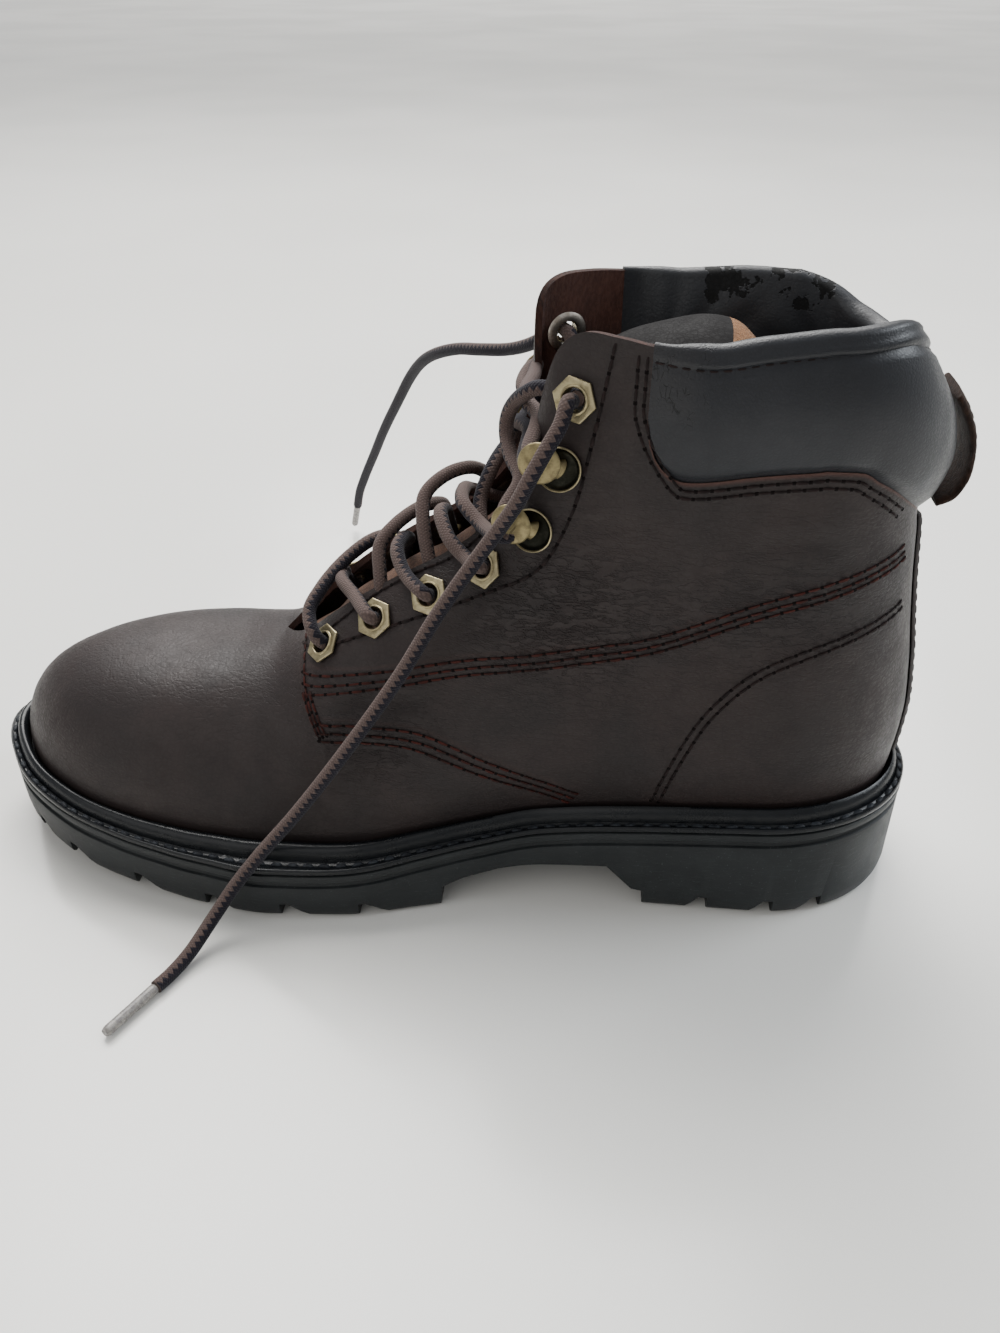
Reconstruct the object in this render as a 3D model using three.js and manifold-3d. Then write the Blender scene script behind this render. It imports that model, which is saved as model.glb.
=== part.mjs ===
// Left work boot, ankle high, standing empty on its sole. Millimetres, +Z up.
// The toe points to -X, the outer side to -Y, and the floor is Z = 0.
// Inside this file a place is (u, v, z): u forward from the back of the heel, v to the outer side, z up.
import * as THREE from 'three';
import { mergeVertices } from 'three/addons/utils/BufferGeometryUtils.js';
import Module from 'manifold-3d';

const wasm = await Module();
wasm.setup();

// ---- Driving dimensions ----
const SOLE_LENGTH = 312;
const HEEL_CENTRE = 50;             // u of the upright axis that the back of the boot turns about
const TOE_CENTRE = 208;             // u of the pole that the toe turns about, at the foot of the throat
const TOE_AXIS = -6;                // v of that pole: the toe swings to the inner side
const GAP = 0.3;                    // clearance between pieces that touch
const WALL = 2.2;                   // leather and lining of the upper
const WELT = 2.5;
const INSOLE = 4;
const HEEL_LEDGE = 6.5;             // width of the welt at the back of the heel
const TOE_LEDGE = 7;                // and at the tip of the toe
const LUG_DEPTH = 6.4;
const LUG_PITCH = 25.4;
const LACE = 4.3;                   // lace diameter
const AGLET_LENGTH = 20;

const material = (color, roughness, metalness = 0) =>
  new THREE.MeshStandardMaterial({ color, roughness, metalness });
const leather = material(0x3a2a28, 0.5);
const padding = material(0x2e2f33, 0.45);
const suede = material(0x5a3426, 0.9);
const rubber = material(0x262b2a, 0.6);
const weltRubber = material(0x15181b, 0.4);
const felt = material(0x3b3632, 0.95);
const brass = material(0x8d8156, 0.4, 0.9);
const laceYarn = material(0x3c302c, 0.85);
const sheath = material(0x6d675c, 0.35);

// ---- Small tools ----
const mix = (a, b, t) => a + (b - a) * t;
const ramp = (from, to, x) => {
  const t = Math.min(1, Math.max(0, (x - from) / (to - from)));
  return t * t * (3 - 2 * t);
};

// A smooth curve y(x) through [x, y] points that never overshoots them, level beyond both ends.
function smooth(...points) {
  const steps = points.slice(1).map(([x, y], i) => (y - points[i][1]) / (x - points[i][0]));
  const slopes = points.map((_, i) => {
    const [a, b] = [steps[i - 1] ?? steps[i], steps[i] ?? steps[i - 1]];
    return a * b > 0 ? (2 * a * b) / (a + b) : 0;
  });
  return (x) => {
    const last = points.length - 1;
    if (x <= points[0][0]) return points[0][1];
    if (x >= points[last][0]) return points[last][1];
    const i = points.findIndex(([end]) => x < end) - 1;
    const span = points[i + 1][0] - points[i][0];
    const t = (x - points[i][0]) / span;
    const lift = ramp(0, 1, t);
    return mix(points[i][1], points[i + 1][1], lift)
      + span * t * (1 - t) * ((1 - t) * slopes[i] - t * slopes[i + 1]);
  };
}

const place = ({ u, v, z }) => new THREE.Vector3(-u, -v, z);

function superellipse(angle, long, short, power) {
  const x = Math.abs(Math.sin(angle)) / long;
  const y = Math.abs(Math.cos(angle)) / short;
  return (x ** power + y ** power) ** (-1 / power);
}

// ---- Plan of the sole: half widths to the edge of the welt, and heights along the boot ----
const outerHalf = smooth([50, 42.4], [90, 41.4], [118, 40.4], [140, 44.3], [157, 48.8], [182, 55],
  [208, 56.6]);
const innerHalf = smooth([50, 41], [85, 38.5], [118, 35.5], [140, 37], [165, 43.5], [190, 52], [208, 55.4]);
const outerToe = smooth([0, 62.6], [13, 62.4], [29, 65.5], [44, 72.6], [60, 84.6], [75, 96.6], [90, 104],
  [92, 104]);
const innerToe = smooth([0, 49.4], [15, 51.4], [33, 58.5], [45, 66.2], [57, 76.2], [68, 86.4], [79, 97],
  [90, 104], [92, 104]);
const spine = smooth([120, 0], [165, -2], [TOE_CENTRE, TOE_AXIS]);
const weltWidth = smooth([50, 8.4], [130, 9], [208, 11.5]);
const ledge = smooth([0, 39], [25, 38.3], [61, 36.5], [95, 34], [120, 30.7], [140, 27.7], [157, 25],
  [174, 22.4], [195, 21.3], [222, 22], [245, 23.5], [270, 26], [295, 29.4], [312, 32.3]);
const ridge = smooth([208, 74], [225, 70.3], [245, 69], [265, 69], [285, 69.2], [306, 69]);
const seat = (u) => ledge(u) - WELT;   // top of the outsole, which carries the welt, the upper and the insole

// A rib is one upright section from the sole to the top. side is 1 outer or -1 inner. Heel and toe ribs
// turn about their axis by angle, and side ribs stand at a share p of the way along the top edge.
const rib = (kind, side, at) => ({ kind, side, at });

// ---- Top edge: topline from the heel axis forward, down the eyestay, to the foot of the throat ----
const edgePath = new THREE.CatmullRomCurve3([
  [50, 34.5, 188.5], [66, 37, 187], [80, 38, 185], [93, 37.5, 186], [104, 33, 187], [113, 27.5, 186.5],
  [118.5, 24.5, 182], [122.5, 23, 171], [126.5, 21.5, 151], [133, 20, 136], [141, 19, 125], [151, 18, 116.5],
  [163, 17.5, 109], [175, 16.8, 101], [187, 15.5, 91.5], [197, 12.5, 82], [204, 7.5, 76.6], [208, 0, 74],
].map(([u, half, z]) => new THREE.Vector3(u, half, z)), false, 'centripetal');
edgePath.arcLengthDivisions = 400;
const footOf = smooth([0, 50], [0.2, 97], [0.31, 125], [0.37, 134], [0.49, 148], [0.6, 161],
  [0.8, 183], [1, 208]);
const lean = smooth([0.04, 0], [0.2, 7], [0.3, 8.5], [0.345, 7], [0.39, 4.5], [0.45, 2], [0.55, 0]);

const drop = smooth([50, 2.6], [66, 1], [85, 0]);

// The inner flap of the throat leans forward of the outer one, and the topline behind it drops lower.
function topEdge(p, side) {
  const { x: u, y: half, z } = edgePath.getPointAt(Math.min(1, Math.max(0, p)));
  return side > 0 ? { u, half, z } : { u: u + lean(p), half, z: z - drop(u) };
}

// Distance from the rib's axis to the edge of the welt (welt 0) or to the foot of the upper (welt 1). The
// heel's plan is a superellipse of power ROUND.
const ROUND = 2.05;
const TOE_DOME = 4.6;               // power of the section over the tip of the toe
const SIDE_DOME = { 1: 2.5, [-1]: 2.7 };

function reach({ kind, side, at }, welt = 0, inset = 0) {
  const half = (u) => {
    const full = side > 0 ? outerHalf(u) - spine(u) : innerHalf(u) + spine(u);
    return full - welt * weltWidth(u) - inset;
  };
  if (kind === 'side') return half(footOf(at));
  if (kind === 'heel') {
    return superellipse(at, HEEL_CENTRE - welt * HEEL_LEDGE - inset, half(HEEL_CENTRE), ROUND);
  }
  const width = mix(weltWidth(TOE_CENTRE), TOE_LEDGE, Math.sin(at));
  return (side > 0 ? outerToe : innerToe)(THREE.MathUtils.radToDeg(at)) - welt * width - inset;
}

// Plan place of a point at distance r from the rib's axis.
function plan({ kind, side, at }, r) {
  if (kind === 'heel') return { u: HEEL_CENTRE - r * Math.sin(at), v: side * r * Math.cos(at) };
  if (kind === 'toe') return { u: TOE_CENTRE + r * Math.sin(at), v: TOE_AXIS + side * r * Math.cos(at) };
  return { u: footOf(at), v: spine(footOf(at)) + side * r };
}

// ---- Outer surface of the upper: q runs up a rib from 0 at the sole to 1 at the top edge ----
const counterHalf = smooth([50, 38.5], [97, 38], [125, 39], [160, 43]);
const ankleHalf = smooth([50, 35.5], [97, 36.5], [125, 35.5], [160, 36]);
const shaftHalf = smooth([50, 35], [97, 37.5], [125, 31], [160, 30]);
const backReach = smooth([0, 43.5], [0.06, 44.6], [0.18, 45.4], [0.3, 43.8], [0.42, 41], [0.52, 38.8],
  [0.62, 37],
  [0.67, 36], [0.77, 36], [0.85, 33.8], [0.92, 30], [1, 25]);
const BACK_MIDDLE = [Math.PI / 2, 178];
const backTop = {
  1: smooth([0, 188.5], [0.5, 189.2], [1, 185], BACK_MIDDLE),
  [-1]: smooth([0, 185.9], [0.3, 183], [0.6, 178.6], [1.1, 176.4], BACK_MIDDLE),
};

function sideWall(foot, at, reachAtFoot, half, q) {
  const levels = [[0, reachAtFoot], [0.2, counterHalf(at)], [0.5, ankleHalf(at)], [0.8, shaftHalf(at)],
    [1, half]];
  return smooth(...levels)(q);
}

function dome(share, power) {
  return Math.sqrt(Math.max(0, 1 - share ** power));
}

function skin(section, q) {
  const { kind, side, at } = section;
  const foot = reach(section, 1);
  const base = plan(section, foot);
  const low = seat(base.u) + GAP * 2;
  if (kind === 'heel') {
    const sideReach = sideWall(low, HEEL_CENTRE, reach(rib('side', side, 0), 1), topEdge(0, side).half, q);
    const r = superellipse(at, backReach(q), sideReach, ROUND);
    return { ...plan(section, r), z: mix(low, backTop[side](at), q) };
  }
  if (kind === 'toe') {
    const share = Math.cos(q * Math.PI / 2);
    const flat = plan(section, foot * share);
    const power = mix(SIDE_DOME[side], TOE_DOME, Math.sin(at) ** 2);
    return { ...flat, z: low + (ridge(flat.u) - low) * dome(share, power) };
  }
  const edge = topEdge(at, side);
  const wallHalf = sideWall(low, base.u, foot, edge.half, q);
  const open = Math.min(0.9, edge.half / foot);
  const share = Math.cos(q * Math.acos(open));
  const rise = dome(share, SIDE_DOME[side]) / dome(open, SIDE_DOME[side]);
  const vamp = ramp(150, 200, base.u);
  const u = mix(base.u, edge.u, mix(q, rise, vamp));
  return {
    u,
    v: spine(u) + side * mix(wallHalf, foot * share, vamp),
    z: mix(low, edge.z, mix(q, rise, vamp)),
  };
}

// ---- Meshes from a grid of ribs and rows ----
function solidFrom(points, faces) {
  const geometry = new THREE.BufferGeometry();
  const corners = points.flatMap((point) => point.toArray());
  geometry.setAttribute('position', new THREE.Float32BufferAttribute(corners, 3));
  geometry.setIndex(faces.flat());
  return geometry;
}

// Welds equal points and returns the ids of a grid of points.
function weld(grid) {
  const found = new Map();
  const points = [];
  const ids = grid.map((column) => column.map((point) => {
    const key = [point.x, point.y, point.z].map((value) => Math.round(value * 1e3)).join();
    if (!found.has(key)) {
      found.set(key, points.length);
      points.push(point.clone());
    }
    return found.get(key);
  }));
  return { points, ids };
}

// A closed wall on a grid of surface points: columns are ribs, rows run up. outward and inward give how far
// each face of the wall stands off the surface along its normal. keep tells which cells exist.
function wallOn(grid, { loop = false, outward = () => 0, inward = () => WALL, keep = () => true } = {}) {
  const { points, ids } = weld(grid);
  const columns = grid.length;
  const cells = [];
  for (let i = 0; i < (loop ? columns : columns - 1); i++) {
    for (let j = 0; j + 1 < grid[0].length; j++) {
      const next = (i + 1) % columns;
      cells.push({ i, j, corners: [ids[i][j], ids[i][j + 1], ids[next][j + 1], ids[next][j]] });
    }
  }
  const split = ({ corners: [a, b, c, d] }) => [[a, b, c], [a, c, d]]
    .filter(([x, y, z]) => x !== y && y !== z && z !== x);
  const normals = points.map(() => new THREE.Vector3());
  const area = new THREE.Triangle();
  for (const face of cells.flatMap(split)) {
    area.set(...face.map((id) => points[id]));
    const normal = area.getNormal(new THREE.Vector3()).multiplyScalar(area.getArea());
    face.forEach((id) => normals[id].add(normal));
  }
  const outer = [];
  const inner = [];
  grid.forEach((column, i) => column.forEach((_, j) => {
    const id = ids[i][j];
    const normal = normals[id].clone();
    if (j === 0 && loop) normal.z = 0;
    normal.normalize();
    outer[id] = points[id].clone().addScaledVector(normal, outward(i, j));
    inner[id] = points[id].clone().addScaledVector(normal, -inward(i, j));
  }));
  const kept = cells.filter(({ i, j }) => keep(i, j)).flatMap(split);
  const count = points.length;
  const edges = new Set(kept.flatMap(([a, b, c]) => [`${a},${b}`, `${b},${c}`, `${c},${a}`]));
  const faces = kept.flatMap(([a, b, c]) => [[a, b, c], [c + count, b + count, a + count]]);
  for (const edge of edges) {
    const [a, b] = edge.split(',').map(Number);
    if (!edges.has(`${b},${a}`)) faces.push([b, a, a + count], [b, a + count, b + count]);
  }
  return mergeVertices(solidFrom([...outer, ...inner], faces).toNonIndexed(), 1e-4);
}

// A closed solid from rings of points, one ring after another. The ends are closed unless it is a loop.
function ringSolid(rings, loop = false) {
  const size = rings[0].length;
  const faces = [];
  for (let i = 0; i < (loop ? rings.length : rings.length - 1); i++) {
    const next = (i + 1) % rings.length;
    for (let j = 0; j < size; j++) {
      const k = (j + 1) % size;
      const [a, b, c, d] = [i * size + j, next * size + j, next * size + k, i * size + k];
      faces.push([a, b, c], [a, c, d]);
    }
  }
  if (!loop) {
    const end = (rings.length - 1) * size;
    for (let j = 1; j + 1 < size; j++) faces.push([0, j, j + 1], [end, end + j + 1, end + j]);
  }
  return facingOut(solidFrom(rings.flat(), faces));
}

function facingOut(geometry) {
  const position = geometry.getAttribute('position');
  const corner = (i) => new THREE.Vector3().fromBufferAttribute(position, geometry.index.getX(i));
  let volume = 0;
  for (let i = 0; i < geometry.index.count; i += 3) {
    volume += corner(i).dot(corner(i + 1).cross(corner(i + 2)));
  }
  if (volume < 0) {
    const turned = [...geometry.index.array];
    for (let i = 0; i < turned.length; i += 3) [turned[i], turned[i + 1]] = [turned[i + 1], turned[i]];
    geometry.setIndex(turned);
  }
  return geometry;
}

// ---- Booleans ----
function toManifold(geometry) {
  const bare = geometry.clone();
  bare.deleteAttribute('normal');
  bare.deleteAttribute('uv');
  const merged = mergeVertices(bare, 1e-4);
  return new wasm.Manifold(new wasm.Mesh({
    numProp: 3,
    vertProperties: new Float32Array(merged.getAttribute('position').array),
    triVerts: new Uint32Array(merged.index.array),
  }));
}

function fromManifold(solid) {
  const mesh = solid.getMesh();
  const geometry = new THREE.BufferGeometry();
  geometry.setAttribute('position', new THREE.Float32BufferAttribute(mesh.vertProperties, 3));
  geometry.setIndex([...mesh.triVerts]);
  return geometry;
}

const cut = (body, tools) => fromManifold(tools.reduce((left, tool) => left.subtract(toManifold(tool)),
  toManifold(body)));
const join = (pieces) => fromManifold(pieces.slice(1).reduce((sum, piece) => sum.add(toManifold(piece)),
  toManifold(pieces[0])));

// ---- Ribs around the boot: outer side from the back of the heel to the toe, then the inner side back ----
const HEEL_RIBS = 6;
const TOE_RIBS = 8;
const COLLAR_FRONT = 0.2;
const SIDE_STATIONS = [0, 0.07, 0.135, COLLAR_FRONT, 0.25, 0.3, 0.345, 0.39, 0.435, 0.49, 0.56, 0.64, 0.73,
  0.82, 0.9, 0.96];

function ribsAround() {
  const half = (side) => [
    ...Array.from({ length: HEEL_RIBS }, (_, i) => rib('heel', side, (1 - i / HEEL_RIBS) * Math.PI / 2)),
    ...SIDE_STATIONS.map((at) => rib('side', side, at)),
    ...Array.from({ length: TOE_RIBS + 1 }, (_, i) => rib('toe', side, i / TOE_RIBS * Math.PI / 2)),
  ];
  return [...half(1), ...half(-1).slice(1, -1).reverse()];
}
const RIBS = ribsAround();

// ---- Slabs under the foot: each rib gives its edge from the top face down to the bottom face ----
function slab(edgeOf) {
  const rings = RIBS.map(edgeOf);
  const around = rings.length;
  const size = rings[0].length;
  const faces = [];
  for (let i = 0; i < around; i++) {
    const next = (i + 1) % around;
    for (let j = 0; j + 1 < size; j++) {
      const [a, b, c, d] = [i * size + j, next * size + j, next * size + j + 1, i * size + j + 1];
      faces.push([a, b, c], [a, c, d]);
    }
  }
  for (let i = 0; i < around / 2; i++) {
    const strip = [i, i + 1, (around - i - 1) % around, (around - i) % around].map((k) => k * size);
    for (const [a, b, c] of [[0, 1, 2], [0, 2, 3]].map((corner) => corner.map((k) => strip[k]))) {
      if (a !== b && b !== c && c !== a) faces.push([a, c, b], [a + size - 1, b + size - 1, c + size - 1]);
    }
  }
  return facingOut(solidFrom(rings.flat(), faces));
}

function onRib(section, r, heightAt) {
  const flat = plan(section, r);
  return place({ ...flat, z: heightAt(flat.u) });
}

// ---- Outsole ----
const TREAD = smooth([0, 0], [217, 0], [229, 0.1], [243, 1.1], [254, 2], [268, 3.2], [280, 4.7], [293, 6.9],
  [312, 11]);
const SOLE_SIDE = [[0, 0], [0, 2.6], [1.4, 2.9], [1.4, 5], [0.3, 5.4]];   // inset, drop of strip and groove
const WIDE = 80;                    // cutters run past both edges of the sole by standing this far out
const LOW = -5;                     // and start this far under the floor
const LUG_LENGTH = 24;              // of an edge lug, from the edge of the sole inward

function outsole() {
  const body = slab((section) => {
    const edge = reach(section);
    return [
      ...SOLE_SIDE.map(([inset, drop]) => onRib(section, edge - inset, (u) => seat(u) - drop)),
      onRib(section, edge - 0.8, (u) => TREAD(u) + 3),
      onRib(section, edge - 3, TREAD),
    ];
  });
  return cut(body, [waist(), ...foreNotches(), ...heelNotches(), ...channels()]);
}

// A prism across the boot from an outline of [u, z] points, between two v values.
function prism(outline, from, to) {
  const shape = new THREE.Shape(outline.map(([u, z]) => new THREE.Vector2(-u, z)));
  const geometry = new THREE.ExtrudeGeometry(shape, { depth: to - from, bevelEnabled: false });
  geometry.rotateX(Math.PI / 2);
  return geometry.translate(0, -from, 0);
}

function waist() {
  return prism([[85.5, LOW], [85.5, 7.3], [89.5, 8], [98, 17], [116, 15.8], [133, 14.9], [144, 12.5],
    [151, 9.5], [152, LOW]], -WIDE, WIDE);
}

// Notches between the edge lugs: an upright wall, a short roof, and a long bevel back to the tread.
function notch(wall, roof, end) {
  return [[wall, LOW], [wall, TREAD(wall) + LUG_DEPTH], [roof, TREAD(roof) + LUG_DEPTH],
    [end, TREAD(end) - GAP], [end, LOW]];
}

function foreNotches() {
  const walls = Array.from({ length: 5 }, (_, i) => 177.8 + i * LUG_PITCH);
  const edges = walls.map((wall) => notch(wall, wall - 2.6, wall - 11.7));
  edges.push(notch(293.5, 291.5, 286.3));
  const rows = edges.flatMap((outline) => [
    prism(outline, LUG_LENGTH, WIDE),
    prism(outline, -WIDE, -LUG_LENGTH - 4),
  ]);
  const middle = walls.map((wall) => notch(wall + 9, wall + 3, wall + 2));
  return [...rows, ...middle.map((outline) => prism(outline, -LUG_LENGTH, LUG_LENGTH - 4))];
}

function heelNotches() {
  const edges = [notch(64.4, 67.5, 72.7), notch(43.3, 46.5, 52), notch(27.2, 30.5, 36.9)];
  const rows = edges.flatMap((outline) => [prism(outline, 18, WIDE), prism(outline, -WIDE, -18)]);
  return [...rows, prism(notch(50, 57, 58), -14, 14)];
}

// Channels along the sole between the edge lugs and the middle row.
function channels() {
  const along = (from, to, left, right) => {
    const stops = Array.from({ length: 7 }, (_, i) => mix(from, to, i / 6));
    return prism([[from, LOW], ...stops.map((u) => [u, TREAD(u) + LUG_DEPTH - GAP]), [to, LOW]], left, right);
  };
  return [along(158, 284, LUG_LENGTH - 4, LUG_LENGTH + 0.1), along(158, 284, -LUG_LENGTH - 4.1, -LUG_LENGTH),
    along(22, 80, 14, 18.1), along(22, 80, -18.1, -14)];
}

// ---- Upper: one wall with the eyelet holes cut through it; the collar has its own cut-out ----
const ROWS = [0, 0.1, 0.22, 0.36, 0.5, 0.61, 0.7, 0.85, 1];
const CUT_ROW = 0.7;                // the row that runs along the lower edge of the collar
const cutShare = smooth([0, 0.776], [0.35, 0.765], [0.52, 0.74], [1.33, 0.665], [Math.PI / 2, 0.66]);
const cutAt = ({ kind, at }) => (kind === 'heel' ? cutShare(at) : 0.772);

function rowShare(section, row) {
  const level = cutAt(section);
  return row < CUT_ROW ? row / CUT_ROW * level : mix(level, 1, (row - CUT_ROW) / (1 - CUT_ROW));
}

// Finds the point of the side wall at a given u and z, with its normal.
function onSide(side, u, z) {
  let best = { gap: Infinity };
  const look = (p, q) => {
    const at = skin(rib('side', side, p), q);
    const gap = Math.hypot(at.u - u, at.z - z);
    if (gap < best.gap) best = { p, q, gap };
  };
  for (let p = 0; p <= 1; p += 0.05) for (let q = 0; q <= 1; q += 0.05) look(p, q);
  for (let step = 0.03; step > 1e-5; step /= 1.6) {
    const { p, q } = best;
    for (const i of [-1, 0, 1]) {
      for (const j of [-1, 0, 1]) look(Math.min(1, Math.max(0, p + i * step)), Math.min(1, q + j * step));
    }
  }
  const { p, q } = best;
  const near = 0.004;
  const at = (i, j) => place(skin(rib('side', side, p + i * near), q + j * near));
  const along = at(1, 0).sub(at(-1, 0));
  const up = at(0, 0).sub(at(0, -1));
  const normal = along.cross(up).normalize();
  if (normal.y * side > 0) normal.negate();
  return { spot: place(skin(rib('side', side, p), q)), normal };
}

// Eyelets run up each side of the throat: four hexagons, two open hooks, one more hexagon.
const EYELETS = [[189, 84.8], [172, 96], [155, 105.5], [138, 117.5], [124.3, 133], [117.6, 151],
  [114, 169.6]];
const isHook = (i) => i === 4 || i === 5;
const leanAt = smooth([120, 0], [150, 2.6], [172, 5.5]);
const STUDS = [1, -1].flatMap((side) => EYELETS.map(([u, z], i) => ({
  side, number: i + 1, hook: isHook(i), ...onSide(side, u + (side < 0 ? leanAt(z) : 0), z),
})));

// Turns a shape that stands on Z so that it stands on the upper at a stud.
function standAt(geometry, { spot, normal }) {
  const turn = new THREE.Quaternion().setFromUnitVectors(new THREE.Vector3(0, 0, 1), normal);
  return geometry.applyQuaternion(turn).translate(spot.x, spot.y, spot.z);
}

const BARREL = 3.2;                 // radius of the tube through the leather
const BORE = 2.6;
const HEX = 6.4;                    // centre to corner
const SEAT_LIFT = 0.9;              // a flat plate on a curved wall stands this far off it

function upper() {
  const grid = RIBS.map((section) => ROWS.map((row) => place(skin(section, rowShare(section, row)))));
  const isBack = ({ kind, at }) => kind === 'heel' || (kind === 'side' && at <= COLLAR_FRONT);
  const keep = (i, j) => !(isBack(RIBS[i]) && isBack(RIBS[(i + 1) % RIBS.length]) && ROWS[j] >= CUT_ROW);
  const drill = STUDS.filter(({ hook }) => !hook)
    .map((stud) => standAt(turned([[0, -9], [BARREL + 0.4, -9], [BARREL + 0.4, 6], [0, 6]], 8), stud));
  return cut(wallOn(grid, { loop: true, keep }), drill);
}

// A turned solid about Z from [radius, z] points.
function turned(profile, segments) {
  const points = profile.map(([r, z]) => new THREE.Vector2(r, z));
  const geometry = new THREE.LatheGeometry(points, segments);
  geometry.rotateX(Math.PI / 2);
  return geometry;
}

function eyelet(stud) {
  const hexagon = new THREE.Shape(Array.from({ length: 6 }, (_, i) => {
    const angle = i * Math.PI / 3;
    return new THREE.Vector2(HEX * Math.cos(angle), HEX * Math.sin(angle));
  }));
  const plate = new THREE.ExtrudeGeometry(hexagon, { depth: 1.2, bevelEnabled: false })
    .translate(0, 0, SEAT_LIFT);
  const back = -WALL - SEAT_LIFT - 1;
  const barrel = turned([[0, back], [5, back], [5, back + 0.7], [BARREL, back + 0.7], [BARREL, SEAT_LIFT + 1],
    [0, SEAT_LIFT + 1]], 10);
  const bore = turned([[0, back - 2], [BORE, back - 2], [BORE, 4], [0, 4]], 10);
  return standAt(cut(join([plate, barrel]), [bore]), stud);
}

function hook(stud) {
  const profile = [[0, SEAT_LIFT], [6.4, SEAT_LIFT], [6.4, 1.6], [2, 1.9], [2, 6.9], [5.6, 7.1], [6.1, 7.9],
    [5, 8.6], [0, 8.9]];
  return standAt(turned(profile, 12), stud);
}

// ---- Welt: a flat stitched ledge with a round bead against the upper ----
const BEAD = [[0.1, 2.4], [1.4, 4], [3.4, 4], [4.8, 2.2], [5.1, 0]];   // out from the upper, up

function welt() {
  const rings = RIBS.map((section) => {
    const foot = reach(section, 1);
    const low = skin(section, 0);
    const next = skin(section, rowShare(section, ROWS[1]));
    const axis = plan(section, 0);
    const away = ({ u, v }) => Math.hypot(u - axis.u, v - axis.v);
    const slope = section.kind === 'side'
      ? Math.abs(next.v - low.v) / (next.z - low.z) * Math.sign(Math.abs(next.v) - Math.abs(low.v))
      : (away(next) - away(low)) / (next.z - low.z);
    const follow = (height) => Math.max(0, slope) * (height + WELT) + GAP * 1.5;
    const bead = BEAD.map(([out, up]) => {
      const step = out < 3 ? follow(up) : GAP;
      return onRib(section, foot + out + step, (u) => ledge(u) + up);
    });
    return [
      onRib(section, foot + GAP, (u) => seat(u) + GAP * 2),
      ...bead,
      onRib(section, reach(section), ledge),
      onRib(section, reach(section), (u) => seat(u) + GAP * 2),
    ];
  });
  return ringSolid(rings, true);
}

function insole() {
  const inset = WALL + 1.6;
  return slab((section) => [INSOLE + 0.6, 0.6]
    .map((lift) => onRib(section, reach(section, 1, inset), (u) => seat(u) + lift)));
}

// ---- Padded collar on the back of the shaft, from the inner flap round the heel to the outer flap ----
function collarRibs() {
  const half = (side) => [
    ...[COLLAR_FRONT - 0.004, 0.135, 0.07, 0].map((at) => rib('side', side, at)),
    ...Array.from({ length: HEEL_RIBS }, (_, i) => rib('heel', side, (i + 1) / HEEL_RIBS * Math.PI / 2)),
  ];
  return [...half(-1), ...half(1).slice(0, -1).reverse()];
}

function collar() {
  const ribs = collarRibs();
  const levels = [0.012, 0.16, 0.34, 0.54, 0.76, 1];
  const grid = ribs.map((section) => levels
    .map((level) => place(skin(section, mix(cutAt(section), 1, level)))));
  const fade = (i) => ramp(-1, 3, Math.min(i, ribs.length - 1 - i));
  const swell = (j) => Math.sin(Math.PI * (0.06 + 0.86 * levels[j]));
  const backward = (i) => (ribs[i].kind === 'heel' ? Math.sin(ribs[i].at) : 0);
  return wallOn(grid, {
    outward: (i, j) => 0.4 + (4.2 + 2 * backward(i)) * fade(i) * swell(j),
    inward: (i, j) => WALL + 5 * fade(i) * swell(j),
  });
}

// ---- Backstay over the heel seam, and the pull loop above it ----
function backstay() {
  const spread = THREE.MathUtils.degToRad(11);
  const ribs = [-1, -0.5, 0, 0.5, 1].map((share) => rib('heel', share < 0 ? -1 : 1,
    Math.PI / 2 - Math.abs(share) * spread));
  const levels = [0.06, 0.15, 0.26, 0.36, 0.46, 0.55, 0.645];
  const grid = ribs.map((section) => levels.map((q) => place(skin(section, q))));
  return wallOn(grid, { outward: () => 1.7, inward: () => -0.5 });
}

function pullLoop() {
  const outer = [[9.6, 167.3], [6.4, 162.6], [3, 155], [1.7, 147], [2.2, 140.4], [4.8, 135.4], [9.6, 132.8]];
  const inner = [[10.3, 134.9], [6.4, 137.3], [4.3, 141.4], [3.7, 147], [5, 154.3], [8, 160.6],
    [10.8, 164.8]];
  return prism([...outer, ...inner], -9, 9);
}

// ---- Tongue: arched strip under the throat, its padded top lying back into the opening ----
const TONGUE = [[226, 63, 19, 5], [209, 68, 21, 7], [196, 76.5, 22.5, 10], [183, 89, 23.5, 12],
  [171, 98, 24.5, 13], [160, 105, 25.5, 13], [149, 111.5, 26.5, 13.5], [139, 120, 27.5, 14],
  [130.5, 131.5, 28.5, 15],
  [125, 146, 29, 15.5], [120, 160, 28.5, 15], [112, 170, 28, 13], [102, 176.2, 26, 10.5], [90, 180, 24, 8.5],
  [79, 182, 23, 8], [70, 180.4, 22.5, 8], [64.5, 175.6, 22, 8]];
                                  // u and z of the middle line, half width, and how far the edges drop
const TONGUE_THICK = smooth([0, 3], [0.6, 3.6], [0.8, 5.5], [1, 5]);

function tongue() {
  const rings = TONGUE.map(([u, z, half, drop], i) => {
    const [before, after] = [TONGUE[Math.max(0, i - 1)], TONGUE[Math.min(TONGUE.length - 1, i + 1)]];
    const along = new THREE.Vector2(after[0] - before[0], after[1] - before[1]).normalize();
    const normal = { u: along.y, z: -along.x };
    const thick = TONGUE_THICK(i / (TONGUE.length - 1));
    const at = (share, depth) => {
      const fall = -drop * share * share - depth;
      const v = spine(u) + share * half;
      return place({ u: u + normal.u * fall, v, z: z + normal.z * fall });
    };
    const shares = [-1, -0.72, -0.38, 0, 0.38, 0.72, 1];
    const under = [...shares].reverse().map((share) => at(share * 0.96, thick));
    return [...shares.map((share) => at(share, 0)), ...under];
  });
  return ringSolid(rings);
}

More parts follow.
